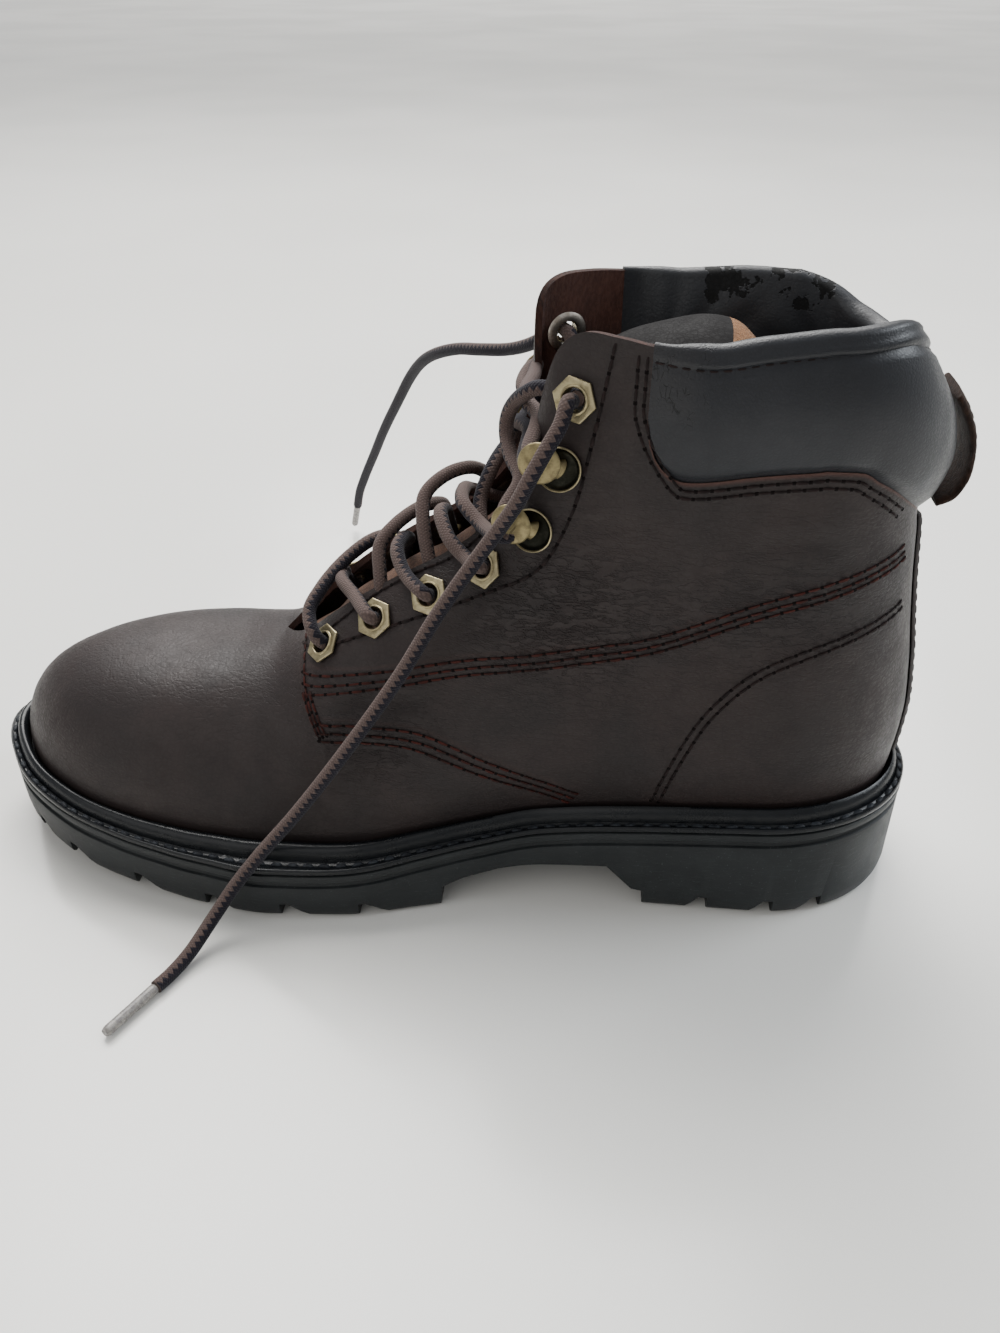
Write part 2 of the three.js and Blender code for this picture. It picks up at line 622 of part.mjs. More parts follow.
// ---- Laces ----
function tube(route, steps, radius = LACE / 2, sides = 8) {
  const circle = new THREE.Shape(Array.from({ length: sides }, (_, i) => {
    const angle = i / sides * Math.PI * 2;
    return new THREE.Vector2(radius * Math.cos(angle), radius * Math.sin(angle));
  }));
  const extrudePath = new THREE.CatmullRomCurve3(route, false, 'centripetal');
  return new THREE.ExtrudeGeometry(circle, { steps, extrudePath });
}

// The crossings over the throat: from each eyelet to the next one up on the other side, as one joined solid.
function lacing() {
  const strand = (side, level) => {
    const [from, to] = [[side, level], [-side, level + 1]].map(([at, i]) => {
      const [u, z] = EYELETS[i];
      return { u: u + (at < 0 ? leanAt(z) : 0) + 3, z: z + 9 };
    });
    const lifts = [[0, 2, 0.8], [0.25, 7, 0.55], [0.5, 9, 0], [0.75, 8, -0.55], [1, 3, -0.8]];
    return tube(lifts.map(([t, lift, across]) => place({
      u: mix(from.u, to.u, t) + lift * 0.6,
      v: spine(mix(from.u, to.u, t)) + side * across * 17,
      z: mix(from.z, to.z, t) + lift * 0.8,
    })), 4);
  };
  const levels = EYELETS.slice(1).map((_, level) => level);
  return join(levels.flatMap((level) => [strand(1, level), strand(-1, level)]));
}

// Free ends: from the top eyelets, over the side of the boot, to the floor.
const OUTER_END = [[117.6, 37.6, 165.6], [121.2, 41, 159.6], [125, 42.6, 152.5], [128, 42.4, 146],
  [133, 41.6, 137.4], [139, 41, 128], [150, 42.4, 110.8], [161.3, 46, 91.4], [176.5, 51, 69],
  [193, 54.5, 46], [207, 57.6, 28.6],
  [214.7, 60.2, 18.5], [220.7, 65.5, 10.4], [226.6, 76, 4], [230.4, 83.4, 2.3], [233.4, 89.2, 2.3]];
const INNER_END = [[123.5, -40, 165.5], [129.5, -46.5, 159.8], [137.5, -56, 154.6], [148, -66.5, 150.8],
  [156.4, -76.5, 147.6], [164.6, -87.5, 142.6], [172.4, -101.5, 135], [180.6, -120, 122.4],
  [191.2, -142, 101.5], [200.5, -161, 82.5], [209, -179.5, 63.4], [217, -195, 45.6], [223, -206.4, 31],
  [226, -213.4, 20.4]];
const vector = ([u, v, z]) => place({ u, v, z });

function laceEnd(side, route) {
  const { spot, normal } = STUDS.find((stud) => stud.side === side && stud.number === 7);
  const out = (distance) => spot.clone().addScaledVector(normal, distance);
  return tube([out(SEAT_LIFT + 1.2 + GAP), out(5), ...route.map(vector)], 26);
}

function aglet(route) {
  const [before, start] = route.slice(-2).map(vector);
  const along = start.clone().sub(before).normalize();
  const geometry = turned([[0, 0], [1.5, 0], [1.7, 1], [1.7, AGLET_LENGTH - 1], [1.2, AGLET_LENGTH],
    [0, AGLET_LENGTH]], 8);
  const turn = new THREE.Quaternion().setFromUnitVectors(new THREE.Vector3(0, 0, 1), along);
  const from = start.addScaledVector(along, GAP);
  return geometry.applyQuaternion(turn).translate(from.x, from.y, from.z);
}

// ---- Assembly ----
const boot = new THREE.Group();
const CORDS = ['lace_end_outer', 'lace_end_inner', 'aglet_outer', 'aglet_inner'];

function add(name, geometry, finish) {
  const faceted = geometry.index ? geometry.toNonIndexed() : geometry;
  faceted.computeVertexNormals();
  const mesh = new THREE.Mesh(faceted, finish);
  mesh.name = name;
  boot.add(mesh);
}

add('outsole', outsole(), rubber);
add('welt', welt(), weltRubber);
add('insole', insole(), felt);
add('upper', upper(), leather);
add('collar', collar(), padding);
add('backstay', backstay(), leather);
add('pull_loop', pullLoop(), suede);
add('tongue', tongue(), suede);
for (const stud of STUDS) {
  const where = stud.side > 0 ? 'outer' : 'inner';
  add(`${stud.hook ? 'hook' : 'eyelet'}_${where}_${stud.number}`, (stud.hook ? hook : eyelet)(stud), brass);
}
add('lacing', lacing(), laceYarn);
add('lace_end_outer', laceEnd(1, OUTER_END), laceYarn);
add('lace_end_inner', laceEnd(-1, INNER_END), laceYarn);
add('aglet_outer', aglet(OUTER_END), sheath);
add('aglet_inner', aglet(INNER_END), sheath);

// The origin is under the middle of the boot, with its free laces left out.
const bounds = new THREE.Box3();
boot.children.filter(({ name }) => !CORDS.includes(name)).forEach((mesh) => bounds.expandByObject(mesh));
const middle = bounds.getCenter(new THREE.Vector3());
boot.position.set(-middle.x, -middle.y, 0);

export default boot;
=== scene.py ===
"""Looks of a left leather work boot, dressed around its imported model.

The boot stands on the floor, toe to -X and outer side to -Y. Shapes are worked out in the boot's own
millimetres (u forward from the back of the heel, v to the outer side, z up) and turned into metres in the
model's frame when a mesh is made.
"""
import logging
import math
import random
from bisect import bisect_right
from dataclasses import dataclass, field
from enum import Enum
from typing import Callable, Iterable, Sequence

import bmesh
import bpy
import numpy as np
from mathutils import Matrix, Quaternion, Vector
from mathutils.bvhtree import BVHTree
from mathutils.kdtree import KDTree

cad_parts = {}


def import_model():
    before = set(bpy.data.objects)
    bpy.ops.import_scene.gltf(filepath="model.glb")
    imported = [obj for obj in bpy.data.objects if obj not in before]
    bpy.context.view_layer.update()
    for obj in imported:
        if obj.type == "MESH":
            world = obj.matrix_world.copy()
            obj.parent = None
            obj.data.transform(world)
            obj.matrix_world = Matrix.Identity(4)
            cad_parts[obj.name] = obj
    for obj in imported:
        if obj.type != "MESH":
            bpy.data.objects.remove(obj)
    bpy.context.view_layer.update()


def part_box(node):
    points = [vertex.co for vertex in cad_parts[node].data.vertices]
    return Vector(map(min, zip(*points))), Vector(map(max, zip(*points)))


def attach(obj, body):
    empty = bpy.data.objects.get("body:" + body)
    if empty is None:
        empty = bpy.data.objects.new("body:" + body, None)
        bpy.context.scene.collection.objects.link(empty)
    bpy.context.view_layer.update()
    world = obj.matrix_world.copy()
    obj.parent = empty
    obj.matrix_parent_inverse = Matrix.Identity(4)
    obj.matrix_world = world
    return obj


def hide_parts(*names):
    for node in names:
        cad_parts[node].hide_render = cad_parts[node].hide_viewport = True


LOG = logging.getLogger("boot")
MM = 0.001
BODY = "root"
UVZ = tuple[float, float, float]
Piece, Material, Array = bpy.types.Object, bpy.types.Material, np.ndarray
OUTER, INNER = 1, -1
QUARTER, FULL = math.pi / 2, 2 * math.pi
TINY = 1e-6


# ---- Small maths ----
def mix(a: float, b: float, t: float) -> float:
    """The value a share t of the way from a to b."""
    return a + (b - a) * t


def ramp(low: float, high: float, x):
    """A soft step from 0 at low to 1 at high, for a number or an array."""
    t = np.clip((np.asarray(x, float) - low) / (high - low), 0, 1)
    value = t * t * (3 - 2 * t)
    return value if np.ndim(x) else float(value)


class Curve:
    """A smooth curve y(x) through points that never overshoots them, level beyond both ends."""

    def __init__(self, *points: tuple[float, float]) -> None:
        """Works out the slope at each point.

        Args:
            points: The (x, y) points, by rising x.
        """
        self.xs = [p[0] for p in points]
        self.ys = [p[1] for p in points]
        steps = [(y1 - y0) / (x1 - x0) for (x0, y0), (x1, y1) in zip(points, points[1:])]
        pairs = zip([steps[0], *steps], [*steps, steps[-1]])
        self.slopes = [2 * a * b / (a + b) if a * b > 0 else 0.0 for a, b in pairs]

    def __call__(self, x: float) -> float:
        """The curve's value at x."""
        if x <= self.xs[0]:
            return self.ys[0]
        if x >= self.xs[-1]:
            return self.ys[-1]
        i = bisect_right(self.xs, x) - 1
        span = self.xs[i + 1] - self.xs[i]
        t = (x - self.xs[i]) / span
        lift = t * t * (3 - 2 * t)
        bend = (1 - t) * self.slopes[i] - t * self.slopes[i + 1]
        return mix(self.ys[i], self.ys[i + 1], lift) + span * t * (1 - t) * bend


def spline(points: Sequence[Sequence[float]], count: int) -> Array:
    """Evenly spaced points along a centripetal Catmull-Rom curve.

    Args:
        points: The points that the curve passes through, in two or three dimensions.
        count: How many points to return, ends included.

    Returns:
        An array of count rows.
    """
    given = np.asarray(points, float)
    padded = np.vstack([2 * given[0] - given[1], given, 2 * given[-1] - given[-2]])
    dense = []
    per = max(8, 4 * count // len(given))
    for i in range(len(given) - 1):
        p0, p1, p2, p3 = padded[i:i + 4]
        d0, d1, d2 = (max(1e-9, float(np.linalg.norm(b - a))) ** 0.5
                      for a, b in ((p0, p1), (p1, p2), (p2, p3)))
        m1 = ((p1 - p0) / d0 - (p2 - p0) / (d0 + d1) + (p2 - p1) / d1) * d1
        m2 = ((p2 - p1) / d1 - (p3 - p1) / (d1 + d2) + (p3 - p2) / d2) * d1
        for t in np.linspace(0, 1, per, endpoint=False):
            s = t * t
            dense.append(p1 * (1 - 3 * s + 2 * s * t) + m1 * (t - 2 * s + s * t)
                         + p2 * (3 * s - 2 * s * t) + m2 * (s * t - s))
    dense.append(given[-1])
    return evenly(np.array(dense), count)


def unit(rows: Array) -> Array:
    """The same vectors at length 1."""
    return rows / np.maximum(1e-12, np.linalg.norm(rows, axis=-1, keepdims=True))


def gone_by(line: Array) -> Array:
    """The length of a polyline up to each of its points."""
    return np.concatenate([[0], np.cumsum(np.linalg.norm(np.diff(line, axis=0), axis=1))])


def evenly(line: Array, count: int) -> Array:
    """The same line with count points evenly spaced along it."""
    gone = gone_by(line)
    stops = np.linspace(0, gone[-1], count)
    return np.column_stack([np.interp(stops, gone, line[:, k]) for k in range(line.shape[1])])


def length_of(line: Array) -> float:
    """The length of a polyline."""
    return float(gone_by(line)[-1])


def beside(line: Array, away: float) -> Array:
    """A flat line moved sideways by a distance, to the left of its own direction."""
    run = unit(np.gradient(line, axis=0))
    return line + np.column_stack([-run[:, 1], run[:, 0]]) * away


def turns(count: int) -> Array:
    """Equal angles round a full turn."""
    return np.arange(count) / count * FULL


def off_line(spots: Array, line: Array) -> tuple[Array, Array]:
    """Distance of flat points from a polyline, and on which side of it they lie.

    Args:
        spots: Points as rows of two numbers.
        line: The polyline as rows of two numbers.

    Returns:
        The distance, positive to the left of the line's direction, and the share along the line.
    """
    best = np.full(len(spots), np.inf)
    signed = np.zeros(len(spots))
    share = np.zeros(len(spots))
    last = len(line) - 1
    for i, (a, b) in enumerate(zip(line, line[1:])):
        run = b - a
        t = np.clip(((spots - a) @ run) / max(1e-12, run @ run), 0, 1)
        gap = spots - a - t[:, None] * run
        far = np.hypot(gap[:, 0], gap[:, 1])
        nearer = far < best
        side = np.sign(run[0] * gap[:, 1] - run[1] * gap[:, 0])
        best[nearer] = far[nearer]
        signed[nearer] = (far * np.where(side == 0, 1, side))[nearer]
        share[nearer] = ((i + t) / last)[nearer]
    return signed, share


# ---- The last: the form that the boot is built on ----
class Kind(Enum):
    """Which part of the last a rib belongs to."""

    HEEL = "heel"
    SIDE = "side"
    TOE = "toe"


@dataclass(frozen=True)
class Rib:
    """One upright section of the last, from the sole to the top edge.

    Heel and toe ribs turn about their axis by an angle. A side rib stands at a share of the top edge.
    """

    kind: Kind
    side: int
    at: float


@dataclass
class Last:
    """The shape of the boot in plan, in section and along its top edge, in millimetres."""

    heel_centre: float = 50.0
    toe_centre: float = 208.0
    toe_axis: float = -6.0
    wall: float = 2.2
    welt_thick: float = 2.5
    heel_ledge: float = 6.5
    toe_ledge: float = 7.0
    collar_front: float = 0.2
    collar_cut: float = 0.772
    corner: tuple[float, float] = (0.05, 0.1)
    side_dome: dict[int, float] = field(default_factory=lambda: {OUTER: 2.5, INNER: 2.7})
    toe_dome: float = 4.6
    round_power: float = 2.05

    def __post_init__(self) -> None:
        """Makes the curves that the sections follow."""
        self.outer_half = Curve((50, 42.4), (90, 41.4), (118, 40.4), (140, 44.3), (157, 48.8), (182, 55),
                                (208, 56.6))
        self.inner_half = Curve((50, 41), (85, 38.5), (118, 35.5), (140, 37), (165, 43.5), (190, 52),
                                (208, 55.4))
        self.toe_reach = {
            OUTER: Curve((0, 62.6), (13, 62.4), (29, 65.5), (44, 72.6), (60, 84.6), (75, 96.6), (90, 104),
                         (92, 104)),
            INNER: Curve((0, 49.4), (15, 51.4), (33, 58.5), (45, 66.2), (57, 76.2), (68, 86.4), (79, 97),
                         (90, 104), (92, 104)),
        }
        self.spine = Curve((120, 0), (165, -2), (208, -6))
        self.welt_width = Curve((50, 8.4), (130, 9), (208, 11.5))
        self.ledge = Curve((0, 39), (25, 38.3), (61, 36.5), (95, 34), (120, 30.7), (140, 27.7), (157, 25),
                           (174, 22.4), (195, 21.3), (222, 22), (245, 23.5), (270, 26), (295, 29.4),
                           (312, 32.3))
        self.ridge = Curve((208, 74), (225, 70.3), (245, 69), (265, 69), (285, 69.2), (306, 69))
        self.edge = spline([[50, 34.5, 188.5], [66, 37, 187], [80, 38, 185], [93, 37.5, 186], [104, 33, 187],
                            [113, 27.5, 186.5], [118.5, 24.5, 182], [122.5, 23, 171], [126.5, 21.5, 151],
                            [133, 20, 136], [141, 19, 125], [151, 18, 116.5], [163, 17.5, 109],
                            [175, 16.8, 101], [187, 15.5, 91.5], [197, 12.5, 82], [204, 7.5, 76.6],
                            [208, 0, 74]], 401)
        self.foot_of = Curve((0, 50), (0.2, 97), (0.31, 125), (0.37, 134), (0.49, 148), (0.6, 161),
                             (0.8, 183), (1, 208))
        self.lean = Curve((0.04, 0), (0.2, 7), (0.3, 8.5), (0.345, 7), (0.39, 4.5), (0.45, 2), (0.55, 0))
        self.drop = Curve((50, 2.6), (66, 1), (85, 0))
        self.counter_half = Curve((50, 38.5), (97, 38), (125, 39), (160, 43))
        self.ankle_half = Curve((50, 35.5), (97, 36.5), (125, 35.5), (160, 36))
        self.shaft_half = Curve((50, 35), (97, 37.5), (125, 31), (160, 30))
        self.back_reach = Curve((0, 43.5), (0.06, 44.6), (0.18, 45.4), (0.3, 43.8), (0.42, 41), (0.52, 38.8),
                                (0.62, 37), (0.67, 36), (0.77, 36), (0.85, 33.8), (0.92, 30), (1, 25))
        self.back_top = {
            OUTER: Curve((0, 188.5), (0.5, 189.2), (1, 185), (QUARTER, 178)),
            INNER: Curve((0, 185.9), (0.3, 183), (0.6, 178.6), (1.1, 176.4), (QUARTER, 178)),
        }
        self.cut_share = Curve((0, 0.776), (0.35, 0.765), (0.52, 0.74), (1.33, 0.665), (QUARTER, 0.66))

    def seat(self, u: float) -> float:
        """Height of the top of the outsole."""
        return self.ledge(u) - self.welt_thick

    def top_edge(self, share: float, side: int) -> UVZ:
        """The point (u, half width, z) of the top edge at a share of its length."""
        stop = min(1.0, max(0.0, share)) * (len(self.edge) - 1)
        i = min(int(stop), len(self.edge) - 2)
        u, half, z = self.edge[i] + (self.edge[i + 1] - self.edge[i]) * (stop - i)
        return (u, half, z) if side > 0 else (u + self.lean(share), half, z - self.drop(u))

    def oval(self, angle: float, long: float, short: float) -> float:
        """Radius of the heel's rounded plan at an angle from its short side."""
        x, y = abs(math.sin(angle)) / long, abs(math.cos(angle)) / short
        return (x ** self.round_power + y ** self.round_power) ** (-1 / self.round_power)

    def reach(self, rib: Rib, welt: float = 0, inset: float = 0) -> float:
        """Distance from a rib's axis to the welt's edge (welt 0) or to the upper's foot (welt 1)."""
        def half(u: float) -> float:
            full = self.outer_half(u) - self.spine(u) if rib.side > 0 else self.inner_half(u) + self.spine(u)
            return full - welt * self.welt_width(u) - inset
        if rib.kind is Kind.SIDE:
            return half(self.foot_of(rib.at))
        if rib.kind is Kind.HEEL:
            long = self.heel_centre - welt * self.heel_ledge - inset
            return self.oval(rib.at, long, half(self.heel_centre))
        width = mix(self.welt_width(self.toe_centre), self.toe_ledge, math.sin(rib.at))
        return self.toe_reach[rib.side](math.degrees(rib.at)) - welt * width - inset

    def plan(self, rib: Rib, r: float) -> tuple[float, float]:
        """The (u, v) place at a distance from a rib's axis."""
        if rib.kind is Kind.HEEL:
            return self.heel_centre - r * math.sin(rib.at), rib.side * r * math.cos(rib.at)
        if rib.kind is Kind.TOE:
            return self.toe_centre + r * math.sin(rib.at), self.toe_axis + rib.side * r * math.cos(rib.at)
        u = self.foot_of(rib.at)
        return u, self.spine(u) + rib.side * r

    def cut_at(self, rib: Rib) -> float:
        """How far up a rib the lower edge of the collar's cut-out is, with its front corner rounded."""
        if rib.kind is Kind.HEEL:
            return self.cut_share(rib.at)
        if rib.kind is Kind.TOE:
            return self.collar_cut
        bend = min(1.0, max(0.0, 1 - (self.collar_front - rib.at) / self.corner[0]))
        rise = (1 - math.sqrt(1 - bend * bend)) * ramp(self.collar_front + 0.12, self.collar_front, rib.at)
        return self.collar_cut + self.corner[1] * rise

    def under_collar(self, rib: Rib, spare: float = 0.0) -> bool:
        """Whether the collar stands on a rib."""
        return rib.kind is Kind.HEEL or (rib.kind is Kind.SIDE and rib.at <= self.collar_front + spare)

    def section(self, rib: Rib) -> Callable[[float], UVZ]:
        """The outer surface of the upper along one rib.

        Args:
            rib: The rib.

        Returns:
            A function of the share up the rib, from 0 at the sole to 1 at the top edge.
        """
        foot = self.reach(rib, 1)
        base_u, _ = self.plan(rib, foot)
        low = self.seat(base_u) + 0.6
        if rib.kind is Kind.HEEL:
            return self._heel_section(rib, low)
        if rib.kind is Kind.TOE:
            return self._toe_section(rib, foot, low)
        edge_u, edge_half, edge_z = self.top_edge(rib.at, rib.side)
        levels = Curve((0, foot), (0.2, self.counter_half(base_u)), (0.5, self.ankle_half(base_u)),
                       (0.8, self.shaft_half(base_u)), (1, edge_half))
        power = self.side_dome[rib.side]
        open_share = min(0.9, edge_half / foot)
        turn = math.acos(open_share)
        full = math.sqrt(1 - open_share ** power)
        vamp = ramp(150, 200, base_u)
        spine = self.spine

        def at(q: float) -> UVZ:
            share = math.cos(q * turn)
            climb = mix(q, math.sqrt(max(0.0, 1 - share ** power)) / full, vamp)
            u = mix(base_u, edge_u, climb)
            return u, spine(u) + rib.side * mix(levels(q), foot * share, vamp), mix(low, edge_z, climb)
        return at

    def _heel_section(self, rib: Rib, low: float) -> Callable[[float], UVZ]:
        """The outer surface along a rib at the back of the heel."""
        side_foot = self.reach(Rib(Kind.SIDE, rib.side, 0), 1)
        levels = Curve((0, side_foot), (0.2, 38.5), (0.5, 35.5), (0.8, 35),
                       (1, self.top_edge(0, rib.side)[1]))
        top = self.back_top[rib.side](rib.at)

        def at(q: float) -> UVZ:
            u, v = self.plan(rib, self.oval(rib.at, self.back_reach(q), levels(q)))
            return u, v, mix(low, top, q)
        return at

    def _toe_section(self, rib: Rib, foot: float, low: float) -> Callable[[float], UVZ]:
        """The outer surface along a rib of the toe."""
        power = mix(self.side_dome[rib.side], self.toe_dome, math.sin(rib.at) ** 2)

        def at(q: float) -> UVZ:
            share = math.cos(q * QUARTER)
            u, v = self.plan(rib, foot * share)
            return u, v, low + (self.ridge(u) - low) * math.sqrt(max(0.0, 1 - share ** power))
        return at

    def ribs(self, heel: int, side: int, toe: int) -> list[Rib]:
        """Ribs all round, from the back of the heel along the outer side and back along the inner side.

        Args:
            heel: Ribs in a quarter turn of the heel.
            side: Ribs along one side.
            toe: Ribs in a quarter turn of the toe.

        Returns:
            The ribs in order, each once.
        """
        def half(which: int) -> list[Rib]:
            return [
                *(Rib(Kind.HEEL, which, (1 - i / heel) * QUARTER) for i in range(heel)),
                *(Rib(Kind.SIDE, which, i / side) for i in range(side)),
                *(Rib(Kind.TOE, which, i / toe * QUARTER) for i in range(toe + 1)),
            ]
        return half(OUTER) + half(INNER)[1:-1][::-1]


LAST = Last()


class Place:
    """Turns the boot's own millimetres into metres in the model's frame."""

    origin = Vector((0, 0, 0))

    @classmethod
    def settle(cls) -> None:
        """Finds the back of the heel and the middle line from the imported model."""
        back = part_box("outsole")[1].x
        low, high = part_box("backstay")
        cls.origin = Vector((back, (low.y + high.y) / 2, 0))

    @classmethod
    def many(cls, spots: Array) -> Array:
        """Rows of (u, v, z) in millimetres as rows of (x, y, z) in metres."""
        flat = np.asarray(spots, float).reshape(-1, 3) * MM
        return np.column_stack([cls.origin.x - flat[:, 0], cls.origin.y - flat[:, 1], flat[:, 2]])

    @classmethod
    def back(cls, points: Array) -> Array:
        """Rows of (x, y, z) in metres as rows of (u, v, z) in millimetres."""
        return (points - tuple(cls.origin)) * (-1, -1, 1) / MM

    @classmethod
    def one(cls, u: float, v: float, z: float) -> Vector:
        """One (u, v, z) in millimetres as a point in metres."""
        return Vector((cls.origin.x - u * MM, cls.origin.y - v * MM, z * MM))


# ---- Mesh helpers ----
def alone(piece: Piece) -> Piece:
    """Selects one object and nothing else."""
    bpy.ops.object.select_all(action="DESELECT")
    piece.select_set(True)
    bpy.context.view_layer.objects.active = piece
    return piece


def apply(piece: Piece, kind: str, **settings: object) -> Piece:
    """Adds a modifier with its settings and applies it."""
    alone(piece)
    modifier = piece.modifiers.new(kind.title(), kind)
    for name, value in settings.items():
        setattr(modifier, name, value)
    bpy.ops.object.modifier_apply(modifier=modifier.name)
    return piece


def smooth(piece: Piece, angle: float = 40) -> Piece:
    """Shades a piece smooth up to an angle in degrees."""
    alone(piece)
    bpy.ops.object.shade_smooth_by_angle(angle=math.radians(angle))
    return piece


def tube_faces(count: int, size: int, loop: bool = False) -> list[tuple[int, ...]]:
    """Faces of a tube of rings, capped at both ends or looped into one closed ring."""
    faces = [(i * size + j, (i + 1) % count * size + j, (i + 1) % count * size + (j + 1) % size,
              i * size + (j + 1) % size) for i in range(count if loop else count - 1) for j in range(size)]
    last = (count - 1) * size
    return faces if loop else [*faces, tuple(range(size))[::-1], tuple(range(last, last + size))]


class Build:
    """Collects points and faces, and makes one mesh object of them."""

    def __init__(self) -> None:
        """Starts empty."""
        self.points: list[Array] = []
        self.faces: list[tuple[int, ...]] = []
        self.slots: list[int] = []
        self.uvs: list[tuple[tuple[float, float], ...]] = []
        self.count = 0

    def add(self, points: Array, faces: Iterable[tuple[int, ...]], slots: int | list[int] = 0,
            uvs: Sequence[tuple[tuple[float, float], ...]] | None = None) -> None:
        """Adds points in metres and faces that count from the first of them.

        Args:
            points: Rows of x, y, z.
            faces: Corner numbers of each face.
            slots: Material slot of all these faces, or of each.
            uvs: For each face, the UV place of each corner.
        """
        listed = [tuple(c + self.count for c in face) for face in faces]
        self.points.append(np.asarray(points, float).reshape(-1, 3))
        self.faces += listed
        self.slots += slots if isinstance(slots, list) else [slots] * len(listed)
        self.uvs += uvs or [((0.0, 0.0),) * len(f) for f in listed]
        self.count += len(self.points[-1])

    def tube(self, rings: Array, slots: int | list[int] = 0, loop: bool = False) -> "Build":
        """Adds a tube of rings of (u, v, z) points, capped or looped."""
        self.add(Place.many(rings), tube_faces(*rings.shape[:2], loop), slots)
        return self

    def piece(self, name: str, merge: float = TINY) -> Piece:
        """Makes the object, with equal points merged and its faces turned outwards.

        Args:
            name: The piece's name.
            merge: Distance within which points are one, in metres.

        Returns:
            The new object, at the origin.
        """
        mesh = bpy.data.meshes.new(name)
        mesh.from_pydata(np.vstack(self.points).tolist(), [], self.faces)
        mesh.polygons.foreach_set("material_index", self.slots)
        layer = mesh.uv_layers.new(name="UVMap")
        layer.data.foreach_set("uv", [value for face in self.uvs for corner in face for value in corner])
        mesh.update()
        piece = bpy.data.objects.new(name, mesh)
        bpy.context.scene.collection.objects.link(piece)
        work = bmesh.new()
        work.from_mesh(mesh)
        bmesh.ops.remove_doubles(work, verts=work.verts, dist=merge)
        bmesh.ops.recalc_face_normals(work, faces=work.faces)
        work.to_mesh(mesh)
        work.free()
        return piece

    def finished(self, name: str, angle: float, *finishes: Material) -> Piece:
        """Makes the object with its materials, shaded smooth up to an angle in degrees."""
        return smooth(dress(self.piece(name), *finishes), angle)


def grid_faces(columns: int, rows: int, loop: bool) -> list[tuple[int, int, int, int]]:
    """Faces of a grid of points stored column by column."""
    faces = []
    for i in range(columns if loop else columns - 1):
        near, far = i * rows, (i + 1) % columns * rows
        faces += [(near + j, far + j, far + j + 1, near + j + 1) for j in range(rows - 1)]
    return faces


def frames_along(line: Array) -> tuple[Array, Array, Array]:
    """Directions along a line, and two across it that turn as little as they can.

    Args:
        line: Points as rows.

    Returns:
        Rows of unit vectors: along, across and up.
    """
    along = unit(np.gradient(line, axis=0))
    start = np.cross(along[0], [0, 0, 1.0])
    if np.linalg.norm(start) < 0.1:
        start = np.cross(along[0], [0, 1.0, 0])
    across = [unit(start)]
    for direction in along[1:]:
        across.append(unit(across[-1] - direction * (across[-1] @ direction)))
    across = np.array(across)
    return along, across, np.cross(along, across)


def sweep(build: Build, line: Array, section: Callable[[float], Array]) -> Build:
    """Sweeps a section along a line and closes both ends. UV runs along the line in metres, and round it.

    Args:
        build: Where the mesh is collected.
        line: Points in metres.
        section: Rows of (across, up) in metres at a share of the line.

    Returns:
        The same build.
    """
    _, across, up = frames_along(line)
    gone, rings = gone_by(line), []
    for i, point in enumerate(line):
        outline = section(i / (len(line) - 1))
        rings.append(point + outline[:, :1] * across[i] + outline[:, 1:] * up[i])
    size = len(rings[0])
    uvs = [((a, j / size), (b, j / size), (b, (j + 1) / size), (a, (j + 1) / size))
           for a, b in zip(gone, gone[1:]) for j in range(size)]
    uvs += [((end, 0.5),) * size for end in (0.0, gone[-1])]
    build.add(np.vstack(rings), tube_faces(len(rings), size), 0, uvs)
    return build


def circle(radius: float, sides: int) -> Array:
    """The points of a round section."""
    return np.column_stack([np.cos(turns(sides)), np.sin(turns(sides))]) * radius


def lathe(name: str, profile: Sequence[tuple[float, float]], steps: int = 32) -> Piece:
    """A turned piece about Z, spun from a profile of (radius, height) in millimetres."""
    mesh = bpy.data.meshes.new(name)
    mesh.from_pydata([(r * MM, 0, z * MM) for r, z in profile], [(i, i + 1) for i in range(len(profile) - 1)],
                     [])
    piece = bpy.data.objects.new(name, mesh)
    bpy.context.scene.collection.objects.link(piece)
    alone(piece)
    bpy.ops.object.mode_set(mode="EDIT")
    bpy.ops.mesh.select_all(action="SELECT")
    bpy.ops.mesh.spin(steps=steps, angle=FULL, center=(0, 0, 0), axis=(0, 0, 1))
    bpy.ops.mesh.select_all(action="SELECT")
    bpy.ops.mesh.remove_doubles(threshold=TINY)
    bpy.ops.mesh.normals_make_consistent(inside=False)
    bpy.ops.object.mode_set(mode="OBJECT")
    return piece


def joined(name: str, pieces: Sequence[Piece]) -> Piece:
    """Joins pieces into the first of them and names it."""
    alone(pieces[0])
    for piece in pieces[1:]:
        piece.select_set(True)
    bpy.ops.object.join()
    pieces[0].name = name
    pieces[0].data.name = name
    return pieces[0]


def dress(piece: Piece, *finishes: Material) -> Piece:
    """Gives a piece its materials, in the order of its slots."""
    for finish in finishes:
        piece.data.materials.append(finish)
    return piece


def settle(piece: Piece, slot: str, *nodes: str) -> None:
    """Lets a finished piece ride on the boot, and hides the model's nodes that it stands for."""
    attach(piece, BODY)
    if nodes:
        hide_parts(*nodes)
    LOG.info("%s: %d faces", piece.name, len(piece.data.polygons))


def stored(piece: Piece, **layers: Array) -> None:
    """Stores a number on each of a piece's points, by name."""
    for name, values in layers.items():
        layer = piece.data.attributes.new(name, "FLOAT", "POINT")
        layer.data.foreach_set("value", values.tolist())


def corners_of(piece: Piece) -> Array:
    """A piece's points as rows of x, y, z."""
    spots = np.empty(len(piece.data.vertices) * 3)
    piece.data.vertices.foreach_get("co", spots)
    return spots.reshape(-1, 3)


